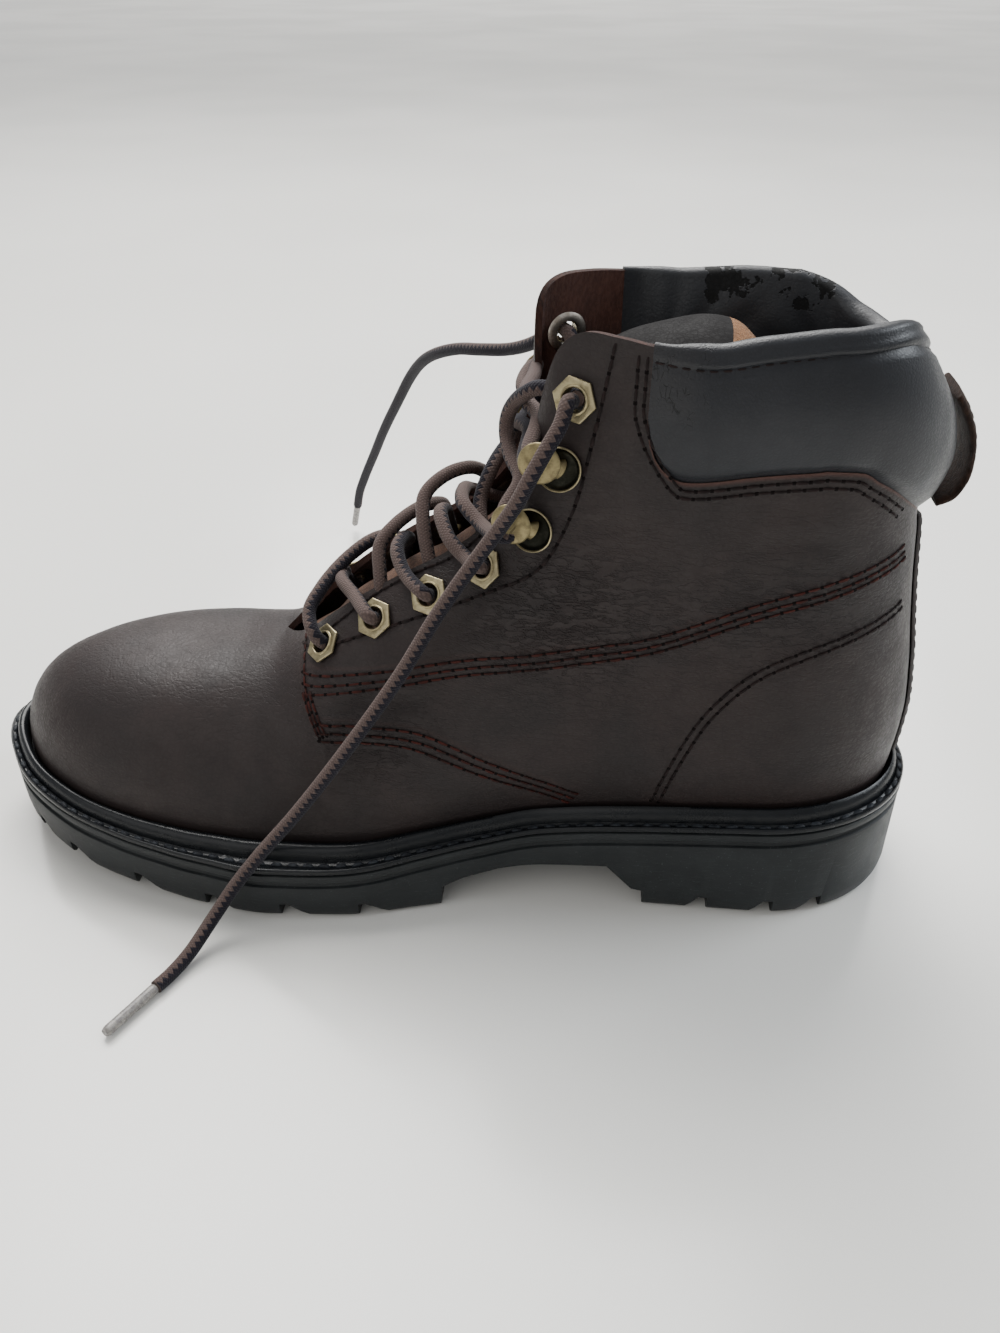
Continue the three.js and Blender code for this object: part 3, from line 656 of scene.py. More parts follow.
def cut(piece: Piece, tool: Piece, **settings: object) -> None:
    """Cuts a tool out of a piece and removes the tool."""
    apply(piece, "BOOLEAN", operation="DIFFERENCE", object=tool, solver="EXACT", **settings)
    bpy.data.objects.remove(tool)


# ---- Materials ----
class Sock:
    """A shader value that can be used in sums, as a number can."""

    def __init__(self, tree: "Tree", socket: bpy.types.NodeSocket) -> None:
        """Wraps a socket of a tree."""
        self.tree = tree
        self.socket = socket

    def _math(self, operation: str, *values: object) -> "Sock":
        """A Math node on this tree."""
        return self.tree.node("ShaderNodeMath", {"operation": operation}, *values)

    def __add__(self, other: object) -> "Sock":
        """Sum."""
        return self._math("ADD", self, other)

    __radd__ = __add__

    def __mul__(self, other: object) -> "Sock":
        """Product."""
        return self._math("MULTIPLY", self, other)

    __rmul__ = __mul__

    def __sub__(self, other: object) -> "Sock":
        """Difference."""
        return self._math("SUBTRACT", self, other)

    def __rsub__(self, other: object) -> "Sock":
        """Difference from a number."""
        return self._math("SUBTRACT", other, self)

    def __truediv__(self, other: object) -> "Sock":
        """Quotient."""
        return self._math("DIVIDE", self, other)

    def size(self) -> "Sock":
        """This value without its sign."""
        return self._math("ABSOLUTE", self)

    def ping(self, scale: float) -> "Sock":
        """A zigzag of this value between 0 and a scale."""
        return self._math("PINGPONG", self, scale)

    def step(self, low: float, high: float) -> "Sock":
        """A soft step from 0 at low to 1 at high, which may run downwards."""
        names = ("Value", "From Min", "From Max", "To Min", "To Max")
        ends = (low, high, 0.0, 1.0) if low < high else (high, low, 1.0, 0.0)
        settings = {"interpolation_type": "SMOOTHSTEP"}
        return self.tree.node("ShaderNodeMapRange", settings, **dict(zip(names, (self, *ends))))


class Tree:
    """One material's nodes."""

    def __init__(self, name: str, **fixed: object) -> None:
        """Makes the material with its surface shader.

        Args:
            name: The material's name.
            fixed: Values that are the same all over, by socket name with _ for a space.
        """
        self.material = bpy.data.materials.new(name)
        self.material.use_nodes = True
        self.nodes = self.material.node_tree.nodes
        self.links = self.material.node_tree.links
        self.shader = self.nodes["Principled BSDF"]
        for key, value in fixed.items():
            self.shader.inputs[key.replace("_", " ")].default_value = value

    def node(self, kind: str, settings: dict[str, object] | None = None, *values: object, out: object = 0,
             **named: object) -> Sock:
        """Makes any node.

        Args:
            kind: The node's type.
            settings: Its own settings, or a ramp's stops.
            values: Values or links of its sockets, in order.
            out: Name or number of the output to return.
            named: Values or links of its sockets, by name.

        Returns:
            The output, wrapped.
        """
        made = self.nodes.new(kind)
        for key, value in (settings or {}).items():
            setattr(made, key, value)
        for key, value in [*enumerate(values), *named.items()]:
            socket = made.inputs[key]
            if isinstance(value, Sock):
                self.links.new(value.socket, socket)
            else:
                socket.default_value = value
        return Sock(self, made.outputs[out])

    def place(self, x: float = 1, y: float = 1, z: float = 1) -> Sock:
        """Object coordinates, stretched by three factors."""
        spot = self.node("ShaderNodeTexCoord", out="Object")
        if (x, y, z) == (1, 1, 1):
            return spot
        return self.node("ShaderNodeVectorMath", {"operation": "MULTIPLY"}, spot, (x, y, z))

    def noise(self, size: float, detail: float = 3, spot: Sock | None = None, rough: float = 0.55) -> Sock:
        """Noise with features of a size in millimetres."""
        named = {"Vector": spot or self.place(), "Scale": 1 / (size * MM), "Detail": detail,
                 "Roughness": rough}
        return self.node("ShaderNodeTexNoise", None, out="Fac", **named)

    def cells(self, size: float, feature: str = "F1", spot: Sock | None = None) -> Sock:
        """Distance within cells of a size in millimetres."""
        named = {"Vector": spot or self.place(), "Scale": 1 / (size * MM)}
        return self.node("ShaderNodeTexVoronoi", {"feature": feature}, out="Distance", **named)

    def kept(self, name: str) -> Sock:
        """A value stored on the mesh."""
        return self.node("ShaderNodeAttribute", {"attribute_name": name}, out="Fac")

    def blend(self, mask: object, low: object, high: object) -> Sock:
        """A colour between two, by a mask."""
        made = self.nodes.new("ShaderNodeMix")
        made.data_type = "RGBA"
        for index, value in ((0, mask), (6, low), (7, high)):
            if isinstance(value, Sock):
                self.links.new(value.socket, made.inputs[index])
            else:
                made.inputs[index].default_value = (*value, 1) if hasattr(value, "__len__") else value
        return Sock(self, made.outputs[2])

    def bump(self, height: Sock, depth: float, under: Sock | None = None) -> Sock:
        """A Bump node whose full height is a depth in millimetres."""
        named = {"Height": height, "Distance": depth * MM, "Strength": 1.0}
        if under is not None:
            named["Normal"] = under
        return self.node("ShaderNodeBump", None, out="Normal", **named)

    def finish(self, **inputs: Sock) -> Material:
        """Links what varies into the surface shader.

        Args:
            inputs: Links by socket name with _ for a space.

        Returns:
            The material.
        """
        for key, value in inputs.items():
            self.links.new(value.socket, self.shader.inputs[key.replace("_", " ")])
        return self.material


Colour = tuple[float, float, float]


@dataclass(frozen=True)
class Leather:
    """Full-grain leather with pores, soft colour drift, rubbed edges and needle rows."""

    name: str
    base: Colour
    deep: Colour
    rubbed: Colour
    rough: float = 0.48
    grain: float = 1.1
    creased: float = 0.3
    gloss: float = 0.24

    def make(self) -> Material:
        """Makes the material."""
        t = Tree(self.name, Specular_IOR_Level=self.gloss)
        drift = t.noise(34, 3).step(0.35, 0.68)
        cloud = t.noise(7, 4).step(0.3, 0.75)
        grain = t.cells(self.grain).step(0.0, 0.75)
        pebble = t.cells(self.grain * 1.7, "DISTANCE_TO_EDGE").step(0.0, 0.25)
        fine = t.noise(0.35, 2)
        lines = t.noise(5.5, 4, t.place(0.8, 1, 2.6), 0.6).ping(0.12) / 0.12
        flex = t.kept("flex")
        folds = t.noise(3.4, 5, t.place(1, 1, 2.4), 0.62) * (0.25 + flex * 0.5)
        wrinkle = lines.step(0.0, 0.5) * flex + folds
        wear = t.kept("wear").step(0.05, 1.0)
        crazed = t.noise(5, 4, None, 0.7).step(0.5, 0.62)
        gaps = t.cells(1.5, "DISTANCE_TO_EDGE", t.place(1, 1, 0.5)).step(0.07, 0.01)
        crack = gaps * t.kept("crack") * crazed
        scuff = t.noise(2.2, 5, t.place(2.4, 1, 0.8), 0.7).step(0.63, 0.72)
        colour = t.blend(drift * 0.75, self.base, self.deep)
        colour = t.blend(cloud * 0.35, colour, self.deep)
        colour = t.blend(wear * (0.45 + fine * 0.5), colour, self.rubbed)
        colour = t.blend(scuff * 0.10, colour, self.rubbed)
        # Painted shade: the low edges of the pebbled grain are darkened toward near-black.
        colour = t.blend((1 - pebble) * 0.1, colour, (0.008, 0.006, 0.006))
        # Painted shade: the troughs of the fine crease lines are darkened toward near-black, more where the
        # leather flexes.
        colour = t.blend((1 - lines.step(0.0, 0.35)) * flex * 0.25, colour, (0.008, 0.006, 0.006))
        colour = t.blend(crack, colour, (0.006, 0.006, 0.006))
        peel = (t.noise(11, 4, None, 0.6) + t.kept("peel") * 0.36).step(0.84, 0.86)
        colour = t.blend(peel, colour, (0.004, 0.004, 0.004))
        height = grain * 0.4 + pebble * 0.4 + fine * 0.2
        normal = t.bump(wrinkle, self.creased)
        normal = t.bump(height - crack * 2 - peel * 4, 0.05, normal)
        rough = self.rough + cloud * 0.1 + scuff * 0.12 + (1 - pebble) * 0.08 + peel * 0.35 - 0.05
        return t.finish(Base_Color=colour, Roughness=rough, Normal=normal)


@dataclass(frozen=True)
class Suede:
    """A napped skin side, or felt: short fibres that stand up from a drifting colour."""

    name: str
    base: Colour
    deep: Colour
    tip: Colour
    fibre: float = 0.45
    depth: float = 0.3

    def make(self) -> Material:
        """Makes the material."""
        t = Tree(self.name, Specular_IOR_Level=0.12, Sheen_Weight=0.08, Sheen_Roughness=0.6)
        patch = t.noise(9, 4).step(0.3, 0.7)
        nap = t.noise(self.fibre, 4, None, 0.7)
        brushed = t.noise(1.6, 5, t.place(1.8, 1, 0.7), 0.65).step(0.35, 0.7)
        colour = t.blend(patch, self.base, self.deep)
        colour = t.blend(brushed * 0.5, colour, self.tip)
        colour = t.blend(nap.step(0.55, 0.8) * 0.45, colour, self.tip)
        normal = t.bump(nap * 0.7 + brushed * 0.3, self.depth)
        return t.finish(Base_Color=colour, Roughness=0.93 - nap * 0.06, Normal=normal)


@dataclass(frozen=True)
class Rubber:
    """Moulded black rubber with a dusty bloom and fine marks."""

    name: str
    base: Colour
    dust: Colour
    rough: float = 0.55
    dusty: float = 0.3

    def make(self) -> Material:
        """Makes the material."""
        t = Tree(self.name, Specular_IOR_Level=0.27)
        bloom = t.noise(14, 5, None, 0.65).step(0.35, 0.75)
        speck = t.noise(0.7, 2).step(0.66, 0.74)
        streak = t.noise(2.6, 4, t.place(0.5, 0.5, 2.6), 0.7).step(0.52, 0.74)
        fine = t.noise(0.5, 3)
        colour = t.blend((bloom * 0.6 + streak * 0.4) * self.dusty, self.base, self.dust)
        colour = t.blend(speck * self.dusty, colour, tuple(min(1.0, c * 1.8) for c in self.dust))
        rough = self.rough + bloom * 0.14 + fine * 0.1 - 0.1
        normal = t.bump(fine * 0.6 + streak * 0.4, 0.07)
        return t.finish(Base_Color=colour, Roughness=rough, Normal=normal)


@dataclass(frozen=True)
class Metal:
    """Antique brass: a warm face, brown in its hollows, with fine rubbing marks."""

    name: str
    base: Colour
    dark: Colour
    rough: float = 0.34
    metallic: float = 1.0

    def make(self) -> Material:
        """Makes the material."""
        t = Tree(self.name, Metallic=self.metallic)
        tarnish = t.noise(2.3, 5, None, 0.65).step(0.38, 0.68)
        fine = t.noise(0.35, 3)
        scratch = t.noise(1.1, 3, t.place(0.35, 1, 3.5), 0.6).step(0.5, 0.7)
        colour = t.blend(tarnish * 0.6, self.base, self.dark)
        colour = t.blend(scratch * 0.25, colour, tuple(min(1.0, c * 1.35) for c in self.base))
        rough = self.rough + tarnish * 0.16 + fine * 0.12 - 0.06
        normal = t.bump(tarnish * 0.5 + fine * 0.5, 0.05)
        return t.finish(Base_Color=colour, Roughness=rough, Normal=normal)


@dataclass(frozen=True)
class Lace:
    """Round braided lace, half light and half dark, whose two halves meet in a row of teeth."""

    name: str
    light: Colour
    dark: Colour
    tooth: float = 2.2
    bite: float = 0.058

    def make(self) -> Material:
        """Makes the material. UV holds metres along the lace, and the share round it."""
        t = Tree(self.name, Specular_IOR_Level=0.18, Sheen_Weight=0.08, Sheen_Roughness=0.5)
        uv = t.node("ShaderNodeTexCoord", out="UV")
        parts = t.nodes.new("ShaderNodeSeparateXYZ")
        t.links.new(uv.socket, parts.inputs[0])
        along, round_it = Sock(t, parts.outputs[0]) / MM, Sock(t, parts.outputs[1])
        saw = (along / self.tooth).ping(0.5) * 2
        from_seam = (round_it - 0.5).size()
        edge = from_seam + (saw - 0.5) * (2 * self.bite)
        light_half = edge.step(0.262, 0.238)
        fuzz = t.noise(0.5, 3)
        strand = ((along + round_it * 7.6) / 0.95).ping(0.5) * 2
        counter = ((along - round_it * 7.6) / 0.95).ping(0.5) * 2
        weave = (strand * counter).step(0.05, 0.6)
        colour = t.blend(light_half, self.dark, self.light)
        # Painted shade: the gaps between the braid's strands are darkened toward near-black.
        colour = t.blend((1 - weave) * 0.3, colour, (0.008, 0.006, 0.01))
        colour = t.blend(fuzz.step(0.6, 0.8) * 0.12, colour, self.light)
        seam = (edge - 0.25).size().step(0.0, 0.03)
        normal = t.bump(weave * 0.5 + seam * 0.5, 0.28)
        return t.finish(Base_Color=colour, Roughness=0.78 + fuzz * 0.12, Normal=normal)


@dataclass(frozen=True)
class Plain:
    """A small piece's finish: one colour that drifts a little, with a fine surface."""

    name: str
    base: Colour
    other: Colour
    rough: float
    spot: float = 1.2
    depth: float = 0.05
    gloss: float = 0.12

    def make(self) -> Material:
        """Makes the material."""
        t = Tree(self.name, Specular_IOR_Level=self.gloss)
        drift = t.noise(self.spot, 4).step(0.35, 0.65)
        fine = t.noise(self.spot * 0.3, 2)
        colour = t.blend(drift, self.base, self.other)
        return t.finish(Base_Color=colour, Roughness=self.rough + fine * 0.1, Normal=t.bump(fine, self.depth))


class Finishes:
    """Every finish of the boot, made once."""

    def __init__(self) -> None:
        """Makes the materials."""
        self.upper = Leather("brown_leather", (0.0275, 0.0195, 0.0185), (0.0175, 0.014, 0.014),
                             (0.085, 0.034, 0.024)).make()
        self.collar = Leather("collar_leather", (0.0205, 0.0215, 0.025), (0.0155, 0.0165, 0.0195),
                              (0.05, 0.04, 0.036), 0.37, 0.7, 0.1).make()
        self.lining = Leather("lining_leather", (0.029, 0.03, 0.033), (0.018, 0.019, 0.022),
                              (0.06, 0.058, 0.056), 0.4, 0.9, 0.4).make()
        self.pad = Leather("tongue_leather", (0.010, 0.009, 0.009), (0.007, 0.0065, 0.007),
                           (0.03, 0.027, 0.025), 0.7, 0.9, 0.5, 0.07).make()
        self.raw = Suede("raw_edge", (0.036, 0.015, 0.011), (0.018, 0.009, 0.008), (0.075, 0.03, 0.02), 0.4,
                         0.35).make()
        self.inside = Suede("flesh_side", (0.055, 0.021, 0.015), (0.034, 0.014, 0.011),
                            (0.10, 0.045, 0.032)).make()
        self.suede = Suede("tongue_suede", (0.075, 0.036, 0.021), (0.04, 0.02, 0.013),
                           (0.14, 0.07, 0.042)).make()
        self.loop = Suede("loop_suede", (0.026, 0.014, 0.010), (0.011, 0.007, 0.006),
                          (0.065, 0.033, 0.022)).make()
        self.felt = Suede("tan_felt", (0.17, 0.075, 0.028), (0.095, 0.045, 0.02), (0.30, 0.155, 0.07), 0.9,
                          0.7).make()
        self.insole = Suede("insole_felt", (0.05, 0.045, 0.042), (0.03, 0.028, 0.026),
                            (0.09, 0.08, 0.07)).make()
        self.sole = Rubber("sole_rubber", (0.0115, 0.0135, 0.0145), (0.055, 0.061, 0.063), 0.5, 0.34).make()
        self.welt = Rubber("welt_rubber", (0.0045, 0.0055, 0.007), (0.026, 0.03, 0.034), 0.3, 0.16).make()
        self.brass = Metal("antique_brass", (0.40, 0.345, 0.21), (0.14, 0.115, 0.065)).make()
        self.olive = Metal("olive_brass", (0.27, 0.225, 0.12), (0.12, 0.095, 0.055), 0.44).make()
        self.cup = Metal("dark_cup", (0.045, 0.045, 0.035), (0.012, 0.012, 0.01), 0.3).make()
        self.washer = Metal("steel_washer", (0.62, 0.58, 0.52), (0.22, 0.16, 0.11), 0.3).make()
        self.lace = Lace("braided_lace", (0.105, 0.073, 0.064), (0.0105, 0.009, 0.015)).make()
        self.thread = Plain("dark_thread", (0.019, 0.0115, 0.011), (0.010, 0.007, 0.007), 0.55, 3.0).make()
        self.red_thread = Plain("red_thread", (0.052, 0.013, 0.010), (0.019, 0.008, 0.007), 0.6, 5.0).make()
        # The needle holes' near-black is painted shade inside the holes.
        self.hole = Plain("needle_hole", (0.003, 0.002, 0.002), (0.006, 0.004, 0.004), 0.9).make()
        self.welt_thread = Plain("welt_thread", (0.03, 0.034, 0.04), (0.012, 0.013, 0.016), 0.45, 1.6).make()
        self.sheath = Plain("clear_sheath", (0.25, 0.235, 0.215), (0.14, 0.13, 0.125), 0.22, 1.6, 0.12,
                            0.5).make()


# ---- The outer surface as a fine grid, which seams and eyelets are placed on ----
@dataclass(frozen=True)
class Seam:
    """A line on both sides of the boot, as (u, z) points in millimetres.

    rows are the distances of its rows of needle holes from the line. step is how far the panel on the left
    of the line stands up over the other one, edge where it does so, and thread the radius of the thread.
    """

    line: tuple[tuple[float, float], ...]
    rows: tuple[float, ...] = ()
    step: float = 0.0
    edge: float = 0.0
    red: bool = False
    thread: float = 0.4

    def curve(self, away: float = 0.0, count: int = 90) -> Array:
        """The line as a smooth curve, moved sideways by a distance."""
        return beside(spline(self.line, count), away)


SEAMS = {
    "front": Seam(((189.5, 60.5), (192.5, 66), (195.6, 72), (197.6, 79), (199, 83)), (1.5,), 0.7, -0.2, True),
    "upper_quarter": Seam(((196, 75.5), (180, 79.5), (162, 83.5), (133, 91.5), (112, 96), (90, 101),
                           (60, 113.5), (36, 122), (20, 127)), (-0.6, 1.9, 4.0), 0.4, -2.0, True),
    "wing": Seam(((189.5, 64.5), (176, 65), (158, 63.5), (147, 60.5), (138, 56.5), (128, 51.5), (118, 46.5),
                  (108, 41)), (-0.5, 2.2, 4.9), 0.45, -2.0, True),
    "counter": Seam(((84, 40), (81, 52), (77, 64), (71, 76.5), (60, 89.5), (47, 97.5), (33, 103), (17, 108)),
                    (-1.2, 1.3), 0.5, -2.7),
    "eyestay": Seam(((198, 80), (186, 86), (170, 94), (151, 103), (134, 113), (122, 122), (114, 138),
                     (109, 160), (106, 177), (104.5, 186)), (0.0,), thread=0.5),
    "flap_edge": Seam(((196, 86.2), (187, 94.5), (175, 104.5), (163, 112.5), (151, 119.5), (143, 127),
                       (135, 138), (127, 152)), (4.2,)),
}

CREASES: tuple[tuple[tuple[tuple[float, float], ...], float, float], ...] = (
    (((186, 66), (176, 71), (164, 74), (150, 75)), 0.55, 2.6),
    (((190, 56), (178, 57.5), (164, 57), (152, 54)), 0.4, 2.4),
    (((178, 48), (168, 51), (157, 50)), 0.35, 2.2),
    (((134, 104), (124, 103), (110, 105), (97, 109)), 0.5, 2.4),
    (((130, 98), (118, 96), (104, 98), (92, 103)), 0.35, 2.0),
    (((126, 112), (115, 112), (102, 115)), 0.4, 2.2), (((118, 122), (106, 124), (94, 126)), 0.3, 2.2),
    (((112, 134), (103, 137), (95, 139)), 0.3, 2.0), (((96, 88), (80, 96), (66, 100)), 0.25, 2.4),
    (((70, 128), (54, 133), (38, 132)), 0.3, 2.6), (((150, 96), (140, 99), (132, 105)), 0.35, 2.0),
    (((212, 62), (205, 52), (200, 44)), 0.35, 3.0),
)
CREASE_DEPTH = 1.35
NEEDLE_PITCH = 4.2


class Skin:
    """The outer surface of the upper as a grid of points, with its panels and creases worked in."""

    def __init__(self, heel: int = 26, side: int = 132, toe: int = 44, rows: int = 92) -> None:
        """Works out the grid.

        Args:
            heel: Ribs in a quarter turn of the heel.
            side: Ribs along one side.
            toe: Ribs in a quarter turn of the toe.
            rows: Cells up a rib.
        """
        self.ribs = LAST.ribs(heel, side, toe)
        below = round(rows * LAST.collar_cut)
        low = np.linspace(0, 1, below + 1)
        high = np.linspace(0, 1, rows - below + 1)[1:]
        self.cut_row = below
        grid = []
        for rib in self.ribs:
            at, start = LAST.section(rib), LAST.cut_at(rib)
            grid.append([at(q) for q in (*(low * start), *(start + high * (1 - start)))])
        base = self._eased(np.array(grid))
        self.flat = base.reshape(-1, 3)
        self.wear = np.zeros(len(self.flat))
        lift = self._panels() + self._creases()
        self._raw_edges()
        self.flex = self._flexed()
        self.grid = base + self._normals(base) * lift.reshape(base.shape[:2])[..., None]
        self.tree = self._tree()

    @staticmethod
    def _eased(grid: Array, passes: int = 40) -> Array:
        """The grid with the turn from its sides into the toe smoothed out."""
        weight = 0.5 * np.exp(-((grid[..., :1] - LAST.toe_centre) / 9) ** 2)
        for _ in range(passes):
            grid = grid + weight * ((np.roll(grid, -1, axis=0) + np.roll(grid, 1, axis=0)) / 2 - grid)
        return grid

    @staticmethod
    def _normals(grid: Array) -> Array:
        """Unit normals of a looped grid, facing out."""
        along = np.roll(grid, -1, axis=0) - np.roll(grid, 1, axis=0)
        up = np.gradient(grid, axis=1)
        normal = np.cross(along, up)
        pole = np.linalg.norm(normal, axis=2) < TINY
        normal[pole] = (0, 0, 1)
        normal = unit(normal)
        outward = grid - grid[:, :1].mean(axis=0)
        flip = np.sign((normal[:, 3] * outward[:, 3] * (1, 1, 0)).sum(axis=1).mean())
        normal = normal * (flip if flip else 1)
        normal[pole] = (0, 0, 1)
        return normal

    def _panels(self) -> Array:
        """How far each point stands up for the panels, the needle rows and the rolled edges."""
        lift = np.zeros(len(self.flat))
        spots = self.flat[:, [0, 2]]
        reachable = self.flat[:, 0] < LAST.toe_centre + 6
        for seam in SEAMS.values():
            far, share = off_line(spots[reachable], seam.curve())
            inside = ramp(0, 0.02, share) * ramp(1, 0.98, share)
            high = ramp(-0.45, 0.45, far - seam.edge) * np.exp(-(np.maximum(far, 0) / 14) ** 2)
            value = seam.step * high * inside
            edge = np.exp(-((far - seam.edge) / 0.8) ** 2) * inside * (1 if seam.step else 0)
            for row in seam.rows:
                value -= 0.2 * np.exp(-((far - row) / 0.85) ** 2) * inside
            lift[reachable] += value
            self.wear[reachable] = np.maximum(self.wear[reachable], edge * (0.3 if seam.red else 0.15))
        return lift

    def _raw_edges(self) -> None:
        """Marks the raw edge round the collar's cut-out."""
        wear = self.wear.reshape(len(self.ribs), -1)
        back = [i for i, r in enumerate(self.ribs) if LAST.under_collar(r, 0.004)]
        wear[back, self.cut_row] = 1.0
        front = [i for i in back if self.ribs[i].kind is Kind.SIDE
                 and self.ribs[i].at > LAST.collar_front - 0.004]
        wear[front, self.cut_row:] = 1.0

    def _flexed(self) -> Array:
        """How much each point's leather is wrinkled by walking."""
        u, z = self.flat[:, 0], self.flat[:, 2]
        ankle = np.exp(-((u - 116) / 26) ** 2 - ((z - 108) / 22) ** 2)
        ball = np.exp(-((u - 172) / 20) ** 2 - ((z - 62) / 15) ** 2)
        heel = 0.5 * np.exp(-((u - 55) / 26) ** 2 - ((z - 112) / 16) ** 2)
        return np.clip(0.12 + ankle + 0.55 * ball + heel, 0, 1)

    def _creases(self) -> Array:
        """How far each point sinks into the soft creases."""
        lift = np.zeros(len(self.flat))
        spots = self.flat[:, [0, 2]]
        for line, depth, width in CREASES:
            far, share = off_line(spots, spline(line, 24))
            fade = ramp(0, 0.3, share) * ramp(1, 0.7, share)
            trough = np.exp(-(far / width) ** 2) - 0.55 * np.exp(-((np.abs(far) - 2.1 * width) / width) ** 2)
            lift -= CREASE_DEPTH * depth * trough * fade
        return lift

    def _tree(self) -> BVHTree:
        """A search tree of the surface, in millimetres."""
        columns, rows = self.grid.shape[:2]
        points = [tuple(p) for p in self.grid.reshape(-1, 3)]
        return BVHTree.FromPolygons(points, grid_faces(columns, rows, True))

    def at(self, side: int, u: float, z: float) -> tuple[Array, Array]:
        """The surface point of one side at (u, z), with its outward normal.

        Args:
            side: Outer or inner.
            u: How far forward.
            z: Height.

        Returns:
            The point and the unit normal as (u, v, z).
        """
        for shift in (0, -0.6, 0.6, -1.4, 1.4, -2.6, 2.6):
            spot, normal, _, _ = self.tree.ray_cast(Vector((u + shift * 0.4, side * 120.0, z - abs(shift))),
                                                    Vector((0, -side, 0)))
            if spot is not None:
                way = np.array(normal)
                return np.array(spot), way * (1 if way[1] * side > 0 else -1)
        spot, normal, _, _ = self.tree.find_nearest(Vector((u, side * 40.0, z)))
        way = np.array(normal)
        return np.array(spot), way * (1 if way[1] * side > 0 else -1)

    def drape(self, side: int, line: Array) -> tuple[Array, Array]:
        """Points and normals of the surface under a flat (u, z) line."""
        found = [self.at(side, u, z) for u, z in line]
        return np.array([f[0] for f in found]), np.array([f[1] for f in found])


class Stitches:
    """Rows of sunk thread between needle holes, collected into one piece."""

    def __init__(self, thread: float = 0.4, pitch: float = NEEDLE_PITCH) -> None:
        """Starts with no rows.

        Args:
            thread: Radius of the thread in millimetres.
            pitch: Distance between needle holes.
        """
        self.thread = thread
        self.pitch = pitch
        self.build = Build()
        self.dice = random.Random(7)

    def row(self, spots: Array, normals: Array, slot: int = 0, holes: bool = True) -> None:
        """Sews one row.

        Args:
            spots: Surface points as (u, v, z).
            normals: Their outward normals.
            slot: Material slot of the thread; the holes have the last slot, 2, whose near-black is painted
                shade.
            holes: Whether the needle holes show.
        """
        count = max(2, round(length_of(spots) / self.pitch) + 1)
        # The normals are spread with the spots, made so small that they don't change the length.
        both = evenly(np.hstack([spots, normals * TINY]), count * 4 - 3)
        lines, ways = both[:, :3], both[:, 3:] / TINY
        for i in range(count - 1):
            span, way = lines[i * 4:i * 4 + 5], ways[i * 4:i * 4 + 5]
            if np.linalg.norm(span[-1] - span[0]) < 0.5:
                continue
            along = unit(span[-1] - span[0])
            rings = []
            fat = self.thread * self.dice.uniform(0.85, 1.15)
            skew = self.dice.uniform(-0.14, 0.14)
            for share, lift, thick in ((0.1, -0.25, 0.6), (0.3, 0.12, 1), (0.7, 0.12, 1), (0.9, -0.25, 0.6)):
                k = share * 4
                point = span[int(k)] + (span[min(4, int(k) + 1)] - span[int(k)]) * (k - int(k))
                normal = unit(way[round(k)])
                across = np.cross(along, normal)
                centre = point + normal * (lift * fat * 2) + across * skew * (share - 0.5)
                rings.append([centre + (across * math.cos(a) + normal * math.sin(a) * 0.8) * fat * thick
                              for a in turns(5)])
            self.build.tube(np.array(rings), slot)
            if holes:
                self._hole(span[0], way[0], along)

    def _hole(self, spot: Array, way: Array, along: Array) -> None:
        """A needle hole as a shallow six-sided button, wider along the row, whose near-black paints the shade
        inside the hole.
        """
        normal = unit(way)
        across = np.cross(along, normal)
        rim = [spot + along * math.cos(a) * 0.8 + across * math.sin(a) * 0.6 - normal * 0.12
               for a in turns(6)]
        points = Place.many(np.array([*rim, spot + normal * 0.07, spot - normal * 0.3]))
        faces = [(j, (j + 1) % 6, 6) for j in range(6)] + [((j + 1) % 6, j, 7) for j in range(6)]
        self.build.add(points, faces, 2)

    def piece(self, name: str, *finishes: Material) -> Piece:
        """Makes the piece."""
        return self.build.finished(name, 60, *finishes)


